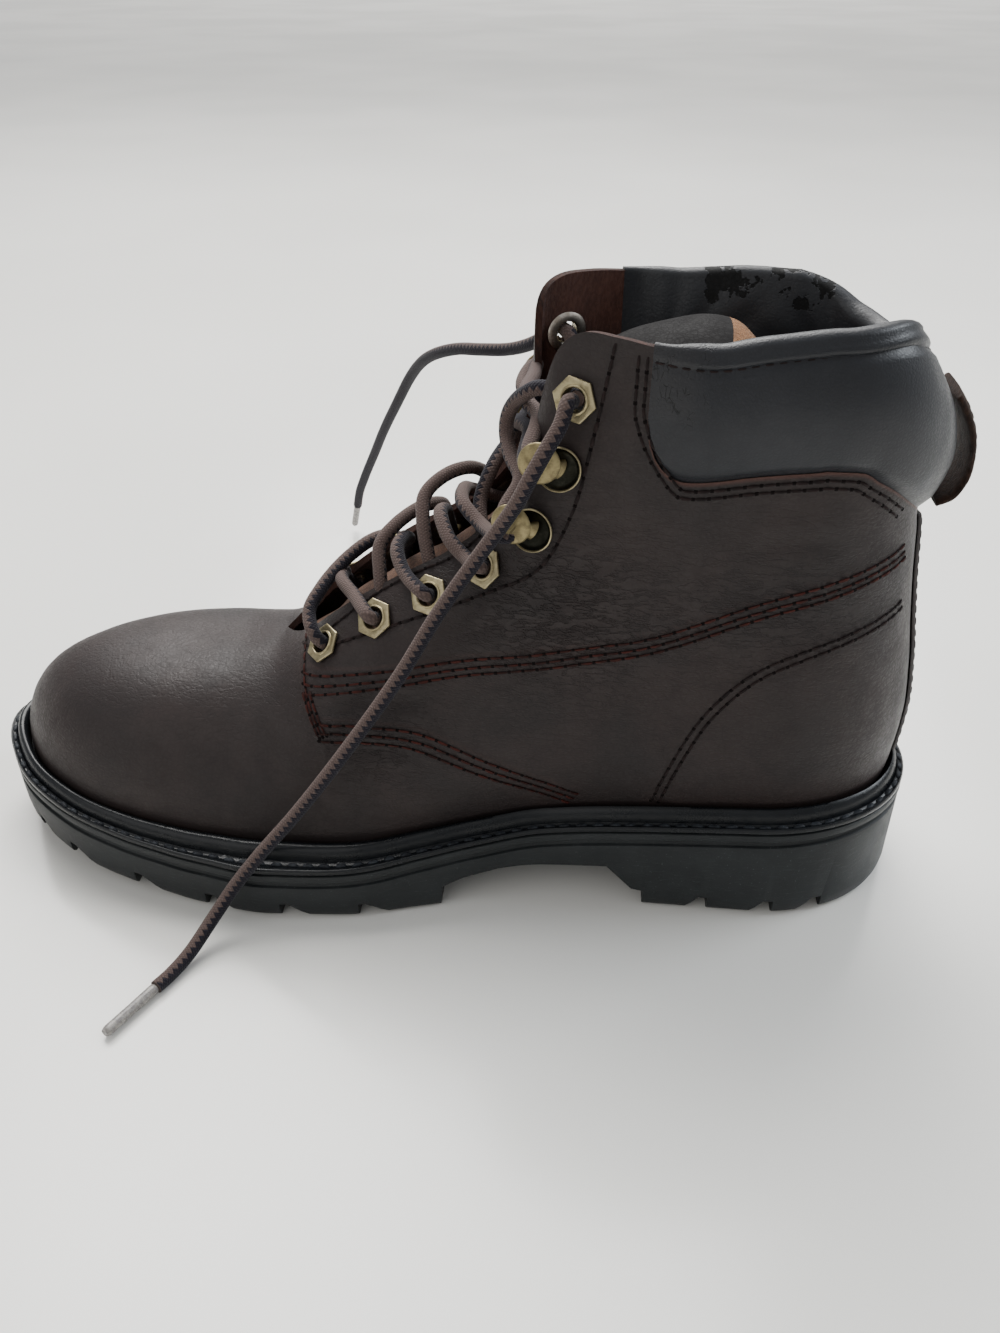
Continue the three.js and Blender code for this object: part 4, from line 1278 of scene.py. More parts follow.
# ---- Studio ----
@dataclass(frozen=True)
class Studio:
    """Camera, pale floor and soft lights."""

    eye: UVZ = (111.18, 318.92, 276.01)
    yaw: float = 4.435
    pitch: float = 33.32
    roll: float = 0.19
    lens: float = 31.09
    aim: UVZ = (0, 0, 0.08)
    floor: float = 30.0

    def camera(self) -> None:
        """Adds the camera, which looks down on the outer side."""
        bpy.ops.object.camera_add(location=Place.one(*self.eye))
        camera = bpy.context.object
        turn = (Matrix.Rotation(math.radians(self.yaw), 4, "Z")
                @ Matrix.Rotation(math.radians(90 - self.pitch), 4, "X")
                @ Matrix.Rotation(math.radians(self.roll), 4, "Z"))
        camera.rotation_euler = turn.to_euler()
        camera.data.sensor_fit = "VERTICAL"
        camera.data.sensor_height = 36
        camera.data.lens = self.lens
        camera.data.clip_start = 0.01
        bpy.context.scene.camera = camera

    def light(self, name: str, place: UVZ, size: float, power: float, tint: Colour) -> None:
        """Adds a soft square light that faces the boot."""
        bpy.ops.object.light_add(type="AREA", location=place)
        lamp = bpy.context.object
        lamp.name = name
        lamp.data.size = size
        lamp.data.energy = power
        lamp.data.color = tint
        lamp.rotation_euler = (Vector(self.aim) - Vector(place)).to_track_quat("-Z", "Y").to_euler()

    def build(self) -> None:
        """Adds the lights, the world and the floor."""
        self.light("key", (-0.3, 0.85, 1.45), 1.2, 50, (1.0, 0.99, 0.97))
        self.light("side", (1.15, 0.3, 0.95), 0.7, 16, (0.88, 0.94, 1.0))
        self.light("front", (-0.9, -1.25, 1.1), 1.6, 9, (1.0, 0.98, 0.95))
        self.light("far", (0.0, 5.2, 3.4), 4.0, 330, (1.0, 0.99, 0.97))
        bpy.context.object.rotation_euler = (0, 0, 0)
        world = bpy.data.worlds.new("room")
        world.use_nodes = True
        world.node_tree.nodes["Background"].inputs[0].default_value = (0.86, 0.87, 0.88, 1)
        world.node_tree.nodes["Background"].inputs[1].default_value = 0.6
        bpy.context.scene.world = world
        bpy.ops.mesh.primitive_plane_add(size=self.floor)
        floor = bpy.context.object
        floor.name = "floor"
        t = Tree("pale_floor", Specular_IOR_Level=0.5, Coat_Weight=0.0)
        cloud = t.noise(420, 2).step(0.3, 0.7)
        colour = t.blend(cloud, (0.74, 0.73, 0.695), (0.78, 0.77, 0.735))
        dress(floor, t.finish(Base_Color=colour, Roughness=0.16 + cloud * 0.05))


# ---- Eyelets and hooks ----
@dataclass(frozen=True)
class Stud:
    """One eyelet or hook: its place on the upper and the way that it faces."""

    side: int
    number: int
    spot: tuple[float, ...]
    normal: tuple[float, ...]

    @property
    def hook(self) -> bool:
        """Whether it is an open hook."""
        return self.number in (5, 6)

    @property
    def node(self) -> str:
        """The name of its CAD node."""
        return f"{'hook' if self.hook else 'eyelet'}_{'outer' if self.side > 0 else 'inner'}_{self.number}"

    def out(self, distance: float) -> UVZ:
        """The place a distance out along its axis."""
        return tuple(s + n * distance for s, n in zip(self.spot, self.normal))


@dataclass(frozen=True)
class Hardware:
    """Sizes of the eyelets and hooks, in millimetres."""

    corner: float = 6.5
    bore: float = 3.25
    thick: float = 1.0
    lift: float = 0.5
    wall: float = 2.2
    forward: tuple[float, float] = (4.4, 2.6)
    heights: tuple[tuple[float, float], ...] = ((189, 84.8), (172, 96), (155, 105.5), (138, 117.5),
                                                (124.3, 133), (117.6, 151), (114, 169.6))

    def studs(self, skin: Skin) -> list[Stud]:
        """Finds every stud's place on the upper."""
        lean = Curve((120, 0), (150, 2.6), (172, 5.5))
        found = []
        for side in (OUTER, INNER):
            for i, (u, z) in enumerate(self.heights):
                near = [skin.at(side, u + (lean(z) if side < 0 else 0) + a, z + b)
                        for a, b in ((0, 0), (2.5, 0), (-2.5, 0), (0, 2.5), (0, -2.5))]
                normal = unit(np.mean([n for _, n in near], axis=0))
                found.append(Stud(side, i + 1, tuple(near[0][0]), tuple(normal)))
        return found

    @staticmethod
    def facing(stud: Stud) -> Quaternion:
        """The turn from Z to the way that a stud faces."""
        return Vector((-stud.normal[0], -stud.normal[1], stud.normal[2])).to_track_quat("Z", "Y")

    def stand(self, piece: Piece, stud: Stud, roll: float = 0.0) -> Piece:
        """Stands a piece made about Z on a stud's place, and applies that."""
        turn = self.facing(stud) @ Quaternion((0, 0, 1), roll)
        piece.data.transform(Matrix.Translation(Place.one(*stud.spot)) @ turn.to_matrix().to_4x4())
        return piece

    def eyelet(self, stud: Stud, finishes: Finishes) -> Piece:
        """A hexagonal plate with a rolled rim round its bore, a tube, and a curled washer behind."""
        bpy.ops.object.select_all(action="DESELECT")
        bpy.ops.mesh.primitive_cylinder_add(vertices=6, radius=self.corner * MM, depth=self.thick * MM,
                                            location=(0, 0, (self.lift + self.thick / 2) * MM))
        plate = bpy.context.object
        bpy.ops.object.transform_apply(location=True, rotation=True, scale=True)
        bpy.ops.mesh.primitive_cylinder_add(vertices=48, radius=(self.bore + 0.35) * MM, depth=12 * MM)
        cut(plate, bpy.context.object)
        apply(plate, "BEVEL", width=0.34 * MM, segments=3, limit_method="ANGLE", angle_limit=math.radians(30))
        top, b = self.lift + self.thick, self.bore
        rim = lathe("rim", [
            (b + 0.9, top - 0.05), (b + 0.75, top + 0.22), (b + 0.4, top + 0.36), (b + 0.1, top + 0.2),
            (b, top - 0.15), (b, -self.wall - 0.4), (b + 0.35, -self.wall - 0.4), (b + 0.35, top - 0.3),
            (b + 0.9, top - 0.05)], 40)
        back = -self.wall - 0.1
        washer = lathe("washer", [
            (b + 0.2, back), (b + 0.1, back - 0.5), (b + 0.5, back - 1.0), (b + 1.2, back - 1.05),
            (b + 2.3, back - 0.7), (b + 2.9, back - 0.3), (b + 2.8, back), (b + 0.2, back)], 36)
        dress(plate, finishes.brass)
        dress(rim, finishes.brass)
        dress(washer, finishes.washer)
        whole = smooth(joined(f"look_{stud.node}", [plate, rim, washer]), 35)
        return self.stand(whole, stud, math.radians(28 if stud.number < 7 else 20))

    def hook(self, stud: Stud, finishes: Finishes) -> Piece:
        """A dark cup on the leather with a bent neck, and a domed round face that stands forward of it."""
        low = self.lift
        cup = lathe("cup", [(0, low + 0.35), (4.6, low + 0.25), (5.4, low + 0.9), (5.75, low + 1.45),
                            (6.05, low + 1.5), (6.2, low + 1.2), (6.0, low + 0.3), (5.6, low - 0.1),
                            (0, low - 0.1)], 48)
        lip = lathe("lip", [(5.7, low + 1.42), (5.95, low + 1.72), (6.25, low + 1.55), (6.3, low + 1.1),
                            (6.0, low + 1.2), (5.7, low + 1.42)], 48)
        disc = lathe("disc", [(0, 0.75), (1.5, 0.72), (3.2, 0.6), (4.6, 0.42), (5.3, 0.25), (5.75, -0.05),
                              (5.85, -0.45), (5.6, -0.75), (5.1, -0.7), (3, -0.55), (0, -0.5)], 48)
        forward = Vector((-self.forward[0], 0.0, self.forward[1])) * MM
        shift = self.facing(stud).inverted() @ forward
        raised = Vector((shift.x, shift.y, (low + 6.4) * MM))
        disc.data.transform(Matrix.Translation(raised) @ Matrix.Rotation(math.radians(6), 4, "X"))
        start, end = Vector((0, 0, (low + 0.2) * MM)), raised - Vector((0, 0, 0.4 * MM))
        line = np.array([list(start.lerp(end, t)) for t in np.linspace(0, 1, 12)])
        oval = circle(MM, 16) * (2.1, 1.5)
        neck = sweep(Build(), line, lambda t: oval * (1 + 0.5 * (2 * t - 1) ** 4))
        stem = dress(neck.piece("neck"), finishes.olive)
        dress(cup, finishes.cup)
        dress(lip, finishes.brass)
        dress(disc, finishes.olive)
        whole = smooth(joined(f"look_{stud.node}", [cup, lip, disc, stem]), 50)
        return self.stand(whole, stud)


# ---- Laces ----
@dataclass(frozen=True)
class Strand:
    """One run of lace between two studs: where it shows, and how its light half is turned."""

    name: str
    start: tuple[int, int]
    end: tuple[int, int]
    line: tuple[UVZ, ...]
    turn: float = 0.0
    twist: float = 0.0


STRANDS = (
    Strand("a", (OUTER, -1), (INNER, 2),
           ((191.5, 21.5, 88), (194.5, 15, 92.8), (192.3, 8, 96.7), (186.3, -4, 101.3),
            (178.5, -14, 104.2)), 0.5, 1.2),
    Strand("d", (INNER, -1), (OUTER, 2),
           ((190.5, -14, 92), (187.1, -6, 96.2), (185.9, 4, 98.6), (180, 14, 98.6)), 2.2, 0.8),
    Strand("b", (OUTER, -2), (INNER, 3),
           ((172, 12, 105.2), (172.6, 6, 112.4), (168.7, 0, 116.4), (161.8, -9, 118.6),
            (156.5, -17, 116.5)), 1.0, 1.0),
    Strand("e", (INNER, -2), (OUTER, 3),
           ((167.5, -13, 104.5), (165.6, -6, 109.1), (166.1, 2, 113.1), (166.7, 10, 113),
            (163.2, 18, 109.4)), 2.4, 0.8),
    Strand("c", (OUTER, -3), (INNER, 4),
           ((156.9, 12, 112.8), (159, 6, 121.5), (159, 0, 127), (153.6, -7, 130.6),
            (146.6, -14, 130.5)), 0.8, 1.2),
    Strand("f", (INNER, -3), (OUTER, 4),
           ((153.5, -10, 115.5), (153, 0, 122.5), (153.2, 9, 125.2), (149.5, 18, 121.5),
            (144.5, 23, 118.5)), 2.0, 0.9),
    Strand("g", (INNER, -4), (OUTER, 5),
           ((145.5, -12, 124), (147, 0, 129.5), (146, 12, 130.5), (139.5, 21, 127.8)), 0.4, 1.4),
    Strand("k", (OUTER, -4), (INNER, 5),
           ((140, 14, 122.5), (141.5, 6, 128.5), (138.6, 0, 136.5), (134.6, -8, 141),
            (131, -18, 141.5)), 2.6, 0.7),
    Strand("m", (INNER, 5), (OUTER, 6),
           ((131.5, -20, 143.5), (133, -8, 149), (130.5, 3, 152.6), (127, 12, 154)), 1.2, 0.8),
    Strand("n", (OUTER, 6), (INNER, 6),
           ((124.3, 18, 160.2), (127.5, 11, 161.4), (128.8, 0, 160.8), (127.5, -14, 160)), 0.3, 1.1),
    Strand("h", (OUTER, 5), (OUTER, -7),
           ((128.6, 24.5, 144.2), (131.8, 16, 147.4), (133.5, 10.5, 151.5), (133.3, 9.5, 156.5),
            (130.9, 12, 162), (127.8, 16.2, 166), (124.2, 19, 168.6)), 0.2, 0.9),
    Strand("p", (INNER, 6), (INNER, -7),
           ((131, -21, 155), (127.5, -13, 154), (121.5, -13, 158), (116.5, -21, 163)), 1.5, 0.7),
)


@dataclass(frozen=True)
class LaceEnd:
    """A free end of the lace: its side and the route that it follows from its eyelet."""

    side: int
    route: tuple[UVZ, ...]
    turn: float
    twist: float


LACE_ENDS = (
    LaceEnd(OUTER, ((117.6, 37.6, 165.6), (121.2, 41, 159.6), (125, 42.6, 152.5), (128, 42.4, 146),
                    (133, 41.6, 137.4), (139, 41, 128), (150, 42.4, 110.8), (161.3, 46, 91.4),
                    (176.5, 51, 69), (193, 54.5, 46), (207, 57.6, 28.6), (214.7, 60.2, 18.5),
                    (220.7, 65.5, 10.4), (226.6, 76, 4), (230.4, 83.4, 2.3), (233.4, 89.2, 2.3)), 2.5, 0.3),
    LaceEnd(INNER, ((123.5, -40, 165.5), (129.5, -46.5, 159.8), (137.5, -56, 154.6), (148, -66.5, 150.8),
                    (156.4, -76.5, 147.6), (164.6, -87.5, 142.6), (172.4, -101.5, 135), (180.6, -120, 122.4),
                    (191.2, -142, 101.5), (200.5, -161, 82.5), (209, -179.5, 63.4), (217, -195, 45.6),
                    (223, -206.4, 31), (226, -213.4, 20.4)), 2.0, 0.4),
)


@dataclass(frozen=True)
class Laces:
    """The lace run through the eyelets, its two free ends and their sheaths."""

    width: float = 4.3
    sides: int = 16
    lead: float = 2.4
    aglet: float = 20.0
    aglet_radius: float = 1.7

    def round(self, turn: float, twist: float) -> Callable[[float], Array]:
        """The section of the lace, whose light half turns as the lace runs on."""
        def section(share: float) -> Array:
            angle = turn + twist * share
            spin = np.array([[math.cos(angle), math.sin(angle)], [-math.sin(angle), math.cos(angle)]])
            return circle(self.width / 2 * MM, self.sides) @ spin
        return section

    def hold(self, stud: Stud, hidden: bool, toward: Array) -> list[UVZ]:
        """The points by which a strand leaves a stud, from its middle outward.

        Args:
            stud: The eyelet or hook.
            hidden: Whether the strand leaves an eyelet on the inside.
            toward: The strand's first free point, which a hook's strand bends round from.
        """
        if stud.hook:
            axis = np.array(stud.normal)
            away = toward - np.array(stud.spot)
            away = unit(away - axis * (away @ axis))
            beyond = np.cross(axis, away)
            middle = np.array(stud.out(4.3)) + np.array((2.6, 0, 1.6))
            return [tuple(middle - axis * 0.6), tuple(middle + away * 1.8 + beyond * 1.9),
                    tuple(middle + away * 5.0 + beyond * 2.2)]
        if hidden:
            return [stud.out(-0.5), stud.out(-5.2)]
        return [stud.out(-4.6), stud.out(0.5), stud.out(3.4)]

    def crossings(self, studs: Sequence[Stud], finishes: Finishes) -> Piece:
        """Every strand over the throat, as one piece."""
        build = Build()
        find = {(s.side, s.number): s for s in studs}
        for strand in STRANDS:
            points = [np.array(p, float) for p in strand.line]
            (side0, n0), (side1, n1) = strand.start, strand.end
            head = self.hold(find[side0, abs(n0)], n0 < 0, points[0])
            tail = self.hold(find[side1, abs(n1)], n1 < 0, points[-1])
            line = spline([*head, *points, *tail[::-1]], 90)
            sweep(build, Place.many(line), self.round(strand.turn, strand.twist))
        return build.finished("crossed_laces", 80, finishes.lace)

    def end(self, which: LaceEnd, stud: Stud, finishes: Finishes) -> None:
        """One free end with its sheath."""
        name = "outer" if which.side > 0 else "inner"
        line = spline([stud.out(self.lead), stud.out(5), *which.route], 220)
        spots = Place.many(line)
        build = sweep(Build(), spots, self.round(which.turn, which.twist))
        lace = build.finished(f"free_lace_{name}", 80, finishes.lace)
        before, last = np.array(which.route[-2:])
        along = unit(last - before)
        profile = Curve((0, 0.82), (0.03, 1), (0.5, 0.96), (0.93, 0.98), (1, 0.72))
        core = circle(self.aglet_radius * MM, 20)
        route = last + np.outer(0.3 + np.linspace(0, self.aglet, 40), along)
        tip = sweep(Build(), Place.many(route), lambda t: core * profile(t)).finished(
            f"sheath_{name}", 40, finishes.sheath)
        settle(tip, "aglet_sheath", f"aglet_{name}")
        settle(lace, "lace_yarn", f"lace_end_{name}")


# ---- Upper ----
@dataclass(frozen=True)
class Upper:
    """The leather upper: panels and creases on one wall, open at the throat, the collar and the eyelets."""

    wall: float = 2.2
    hole: float = 3.7

    def build(self, skin: Skin, studs: Sequence[Stud], finishes: Finishes) -> Piece:
        """Makes the wall from the surface grid."""
        columns, rows = skin.grid.shape[:2]
        flat = skin.grid.reshape(-1, 3)
        faces = np.array(grid_faces(columns, rows, True))
        middles = flat[faces].mean(axis=1)
        keep = np.ones(len(faces), bool)
        back = np.array([LAST.under_collar(rib) for rib in skin.ribs])
        column = np.repeat(np.arange(columns), rows - 1)
        row = np.tile(np.arange(rows - 1), columns)
        keep &= ~(back[column] & back[(column + 1) % columns] & (row >= skin.cut_row))
        for stud in studs:
            if stud.hook:
                continue
            gap = middles - stud.spot
            along = gap @ stud.normal
            far = np.linalg.norm(gap - np.outer(along, stud.normal), axis=1)
            keep &= ~((far < self.hole) & (np.abs(along) < 6))
        build = Build()
        build.add(Place.many(flat), [tuple(f) for f in faces[keep]])
        piece = build.piece("leather_upper", 2e-5)
        tree = KDTree(len(flat))
        for i, point in enumerate(Place.many(flat)):
            tree.insert(point, i)
        tree.balance()
        nearest = [tree.find(p)[1] for p in corners_of(piece)]
        stored(piece, wear=skin.wear[nearest], flex=skin.flex[nearest])
        dress(piece, finishes.upper, finishes.inside, finishes.raw)
        apply(piece, "SOLIDIFY", thickness=self.wall * MM, offset=-1, material_offset=1,
              material_offset_rim=2,
              use_even_offset=False, use_quality_normals=True)
        return smooth(piece, 45)


@dataclass(frozen=True)
class Sewing:
    """Every visible row of thread on the upper."""

    lift: float = 0.22

    def build(self, skin: Skin, finishes: Finishes) -> Piece:
        """Sews the rows of all seams on both sides."""
        stitches = Stitches()

        def sew(side: int, line: Array, slot: int) -> None:
            spots, normals = skin.drape(side, line)
            stitches.row(spots + normals * self.lift, normals, slot)
        for seam in SEAMS.values():
            stitches.thread = seam.thread
            for row in seam.rows:
                for side in (OUTER, INNER):
                    sew(side, seam.curve(row), int(seam.red))
        stitches.thread = SEAMS["front"].thread
        for side in (OUTER, INNER):
            for away in (0.3, 3.0):
                sew(side, beside(spline(SEAMS["front"].line[:3], 30), away), 1)
            for away in (-2.4, -4.6):
                sew(side, beside(self.cut_line(skin, side), away)[8:-1], 0)
        return stitches.piece("seam_threads", finishes.thread, finishes.red_thread, finishes.hole)

    @staticmethod
    def cut_line(skin: Skin, side: int) -> Array:
        """The lower edge of the collar's cut-out and its front edge, as flat (u, z) points."""
        ribs = [i for i, r in enumerate(skin.ribs) if r.side == side and r.kind is Kind.SIDE
                and r.at <= LAST.collar_front]
        heel = [i for i, r in enumerate(skin.ribs) if r.side == side and r.kind is Kind.HEEL and r.at < 1.2]
        order = sorted(heel, key=lambda i: -skin.ribs[i].at) + sorted(ribs, key=lambda i: skin.ribs[i].at)
        low = [skin.grid[i, skin.cut_row] for i in order]
        front = [skin.grid[order[-1], j] for j in range(skin.cut_row + 1, skin.grid.shape[1] - 1)]
        line = np.array([*low, *front])[:, [0, 2]]
        corner = len(low)
        for _ in range(40):
            line[corner - 6:corner + 6] = (line[corner - 7:corner + 5] + line[corner - 5:corner + 7]) / 2
        return evenly(line, 120)


# ---- Collar, backstay and pull loop ----
@dataclass(frozen=True)
class Collar:
    """The padded collar: a crowned roll with a sewn topline and a soft lining."""

    tuck: float = 0.03
    swell: float = 4.6
    back_swell: float = 2.0
    inside: float = 5.4
    binding: float = 0.4
    channel: float = 1.1
    seam_at: float = 0.895
    heel: int = 30
    side: int = 40
    levels: int = 44

    def ribs(self) -> list[Rib]:
        """Ribs from the inner flap round the heel to the outer flap."""
        shares = np.linspace(LAST.collar_front + 0.002, 0, self.side)
        angles = np.linspace(0, QUARTER, self.heel)[1:]
        half = [Rib(Kind.SIDE, INNER, s) for s in shares] + [Rib(Kind.HEEL, INNER, a) for a in angles]
        other = [Rib(r.kind, OUTER, r.at) for r in half]
        return half + other[:-1][::-1]

    def build(self, finishes: Finishes) -> Piece:
        """Makes the collar as one closed form."""
        ribs = self.ribs()
        levels = np.linspace(-self.tuck, 1, self.levels)
        grid = np.array([[LAST.section(rib)(mix(LAST.cut_at(rib), 1, level)) for level in levels]
                         for rib in ribs])
        normals = self.outward(grid)
        swell, fade = (row[:, None] for row in self.swelling(ribs))
        level = np.clip(levels, 0, 1)
        crown = self.crown(level)
        true = np.array([[self.true_level(rib, level) for level in levels] for rib in ribs])
        seam = np.exp(-((true - self.seam_at) / 0.016) ** 2)
        bind = self.binding * np.exp(-((true - 0.955) / 0.035) ** 2)
        out = swell * fade * crown + 0.25 + (bind - self.channel * seam) * (0.35 + 0.65 * fade)
        out += self.dents(grid, np.random.default_rng(5)) * crown * fade - ramp(0.1, -self.tuck, levels) * 1.7
        inner = self.folds(grid, ribs) * ramp(0.25, 0.6, levels)
        inner -= LAST.wall + self.inside * fade * np.sin(np.pi * (0.1 + 0.78 * level)) ** 0.8
        face = grid + normals * out[..., None]
        lining = grid + normals * inner[..., None]
        middle, half = (face[:, -1] + lining[:, -1]) / 2, (face[:, -1] - lining[:, -1]) / 2
        rise = np.outer(np.linalg.norm(half, axis=1) * 0.75, (0, 0, 1))
        turnover = [middle + half * math.cos(a) + rise * math.sin(a)
                    for a in np.linspace(0, math.pi, 9)[1:-1]]
        rings = np.stack([*face.transpose(1, 0, 2), *turnover, *lining.transpose(1, 0, 2)[::-1]], axis=1)
        outside = self.levels + 3
        slots = [*([0] * outside + [1] * (rings.shape[1] - outside)) * (len(ribs) - 1), 0, 0]
        piece = Build().tube(rings, slots).piece("padded_collar", 1e-5)
        u, v, z = Place.back(corners_of(piece)).T
        crack = ramp(74, 88, u) * ramp(163, 173, z) * (v > 0)
        peel = ramp(170, 181, z) * ramp(84, 76, u) * ramp(30, 42, u) * (v < 0)
        stored(piece, crack=crack, peel=peel, wear=crack * 0.25)
        return smooth(dress(piece, finishes.collar, finishes.lining), 60)

    @staticmethod
    def crown(level: Array) -> Array:
        """How full the padding is at a level, from 0 to 1."""
        return np.sin(np.pi * (0.03 + 0.9 * level ** 0.92)) ** 0.85

    def swelling(self, ribs: Sequence[Rib]) -> tuple[Array, Array]:
        """How thick the padding is at each rib, and how it fades in from both ends."""
        count = len(ribs)
        share = np.minimum(np.arange(count), count - 1 - np.arange(count)) / count
        backward = np.array([math.sin(r.at) if r.kind is Kind.HEEL else 0 for r in ribs])
        return self.swell + self.back_swell * backward, ramp(-0.012, 0.10, share)

    @staticmethod
    def start(rib: Rib) -> float:
        """How far up a rib the collar would start without its rounded front corner."""
        return LAST.cut_share(rib.at) if rib.kind is Kind.HEEL else LAST.collar_cut

    def true_level(self, rib: Rib, level: float) -> float:
        """A level of the collar counted from where it would start without its rounded corner."""
        start = self.start(rib)
        return (mix(LAST.cut_at(rib), 1, level) - start) / (1 - start)

    @staticmethod
    def outward(grid: Array) -> Array:
        """Unit normals of the collar's grid, away from the ankle."""
        normal = unit(np.cross(np.gradient(grid, axis=0), np.gradient(grid, axis=1)))
        outward = grid - np.array([60.0, 0.0, 160.0])
        return normal * np.sign((normal * outward * (1, 1, 0)).sum(axis=2))[..., None]

    @staticmethod
    def dents(grid: Array, rng: np.random.Generator) -> Array:
        """Soft unevenness of the padding."""
        total = np.zeros(grid.shape[:2])
        for _ in range(9):
            wave = rng.uniform(0.035, 0.11, 3) * (1, 1, 1.4)
            total += np.sin(grid @ wave + rng.uniform(0, 6.3))
        return total / 9 * 0.7

    @staticmethod
    def folds(grid: Array, ribs: Sequence[Rib]) -> Array:
        """Fan-like folds of the lining near the back corners."""
        side = np.array([r.side for r in ribs])[:, None]
        total = np.zeros(grid.shape[:2])
        for centre in (30, 88):
            u, z = grid[..., 0] - centre, grid[..., 2] - 150
            wave = np.abs(np.sin(np.arctan2(z, u) * 9 + side * 0.7))
            total += (wave ** 3) * np.exp(-((np.hypot(u, z) - 26) / 16) ** 2) * 0.7
        return total

    def topline(self, finishes: Finishes) -> Piece:
        """The row of thread that holds the binding of the rim."""
        ribs = self.ribs()
        grid = np.array([[LAST.section(rib)(mix(self.start(rib), 1, self.seam_at + d))
                          for d in (-0.03, 0, 0.03)]
                         for rib in ribs])
        normals = self.outward(grid)[:, 1]
        swell, fade = self.swelling(ribs)
        out = swell * fade * self.crown(self.seam_at) + 0.45 - self.channel * (0.35 + 0.65 * fade)
        line = grid[:, 1] + normals * out[:, None]
        stitches = Stitches(0.3, 3.4)
        both = evenly(np.hstack([line, normals * 1e-6]), 400)
        stitches.row(both[:, :3], both[:, 3:] * 1e6, 0, False)
        return stitches.piece("collar_threads", finishes.thread)


@dataclass(frozen=True)
class Heel:
    """The backstay over the heel seam and the suede pull loop above it."""

    spread: float = math.radians(11)
    levels: tuple[float, float] = (0.06, 0.645)
    thick: float = 1.2
    loop_width: float = 9.0
    outer: tuple[tuple[float, float], ...] = ((9.6, 167.3), (6.4, 162.6), (3, 155), (1.7, 147), (2.2, 140.4),
                                              (4.8, 135.4), (9.6, 132.8))
    inner: tuple[tuple[float, float], ...] = ((10.8, 164.8), (8, 160.6), (5, 154.3), (3.7, 147), (4.3, 141.4),
                                              (6.4, 137.3), (10.3, 134.9))

    def backstay(self, finishes: Finishes) -> Piece:
        """A narrow strip up the heel, with its edges rounded down and a row of thread on each side."""
        rings = []
        for q in np.linspace(*self.levels, 60):
            outside, inside = [], []
            for share in np.linspace(-1, 1, 19):
                side = INNER if share < 0 else OUTER
                spot = np.array(LAST.section(Rib(Kind.HEEL, side, QUARTER - abs(share) * self.spread))(q))
                away = unit((spot - (LAST.heel_centre, 0, 0)) * (1, 1, 0))
                groove = 0.22 * math.exp(-((abs(share) - 0.72) / 0.07) ** 2)
                high = 0.55 + (self.thick - groove) * (1 - abs(share) ** 10) ** 0.5
                outside.append(spot + away * high)
                inside.append(spot + away * 0.5)
            rings.append([*outside, *inside[::-1]])
        rings = np.array(rings)
        strip = Build().tube(rings).finished("heel_strip", 50, finishes.upper)
        stitches = Stitches(0.26)
        for index in (2, 16):
            stitches.row(rings[:, index], unit(rings[:, index] - rings[:, -1 - index]))
        thread = stitches.piece("heel_strip_threads", finishes.thread, finishes.red_thread, finishes.hole)
        settle(thread, "upper_leather")
        return strip

    def pull_loop(self, finishes: Finishes) -> Piece:
        """A band of suede that stands off the heel, with soft edges."""
        outer, inner = spline(self.outer, 46), spline(self.inner, 46)
        dice = random.Random(11)
        shares = np.linspace(-1, 1, 13)
        soft = 0.35 + 0.65 * (1 - shares ** 6) ** 0.5
        rings = []
        for i, (a, b) in enumerate(zip(outer, inner)):
            half = self.loop_width * (1 + 0.012 * math.sin(i * 0.5))
            thick = soft * np.linalg.norm(b - a) / 2
            bulge = thick + [0.175 * (1 - share * share) + dice.uniform(-0.06, 0.06) for share in shares]
            ring = []
            for share, deep in [*zip(shares, -bulge), *zip(shares[::-1], thick[::-1])]:
                u, z = (a + b) / 2 + unit(b - a) * deep
                ring.append((u, share * half, z))
            rings.append(ring)
        band = Build().tube(np.array(rings)).finished("suede_loop", 70, finishes.loop)
        stitches = Stitches(0.24, 3.4)
        runs = np.gradient(outer[4:-4], axis=0)
        normals = unit(np.array([(-abs(rise), 0, run * np.sign(-rise)) for run, rise in runs]))
        for share in (-0.7, 0.7):
            spots = np.array([(u - 0.1, share * self.loop_width, z) for u, z in outer[4:-4]])
            stitches.row(spots, normals, 0, False)
        settle(stitches.piece("loop_threads", finishes.thread), "tongue_suede")
        return band


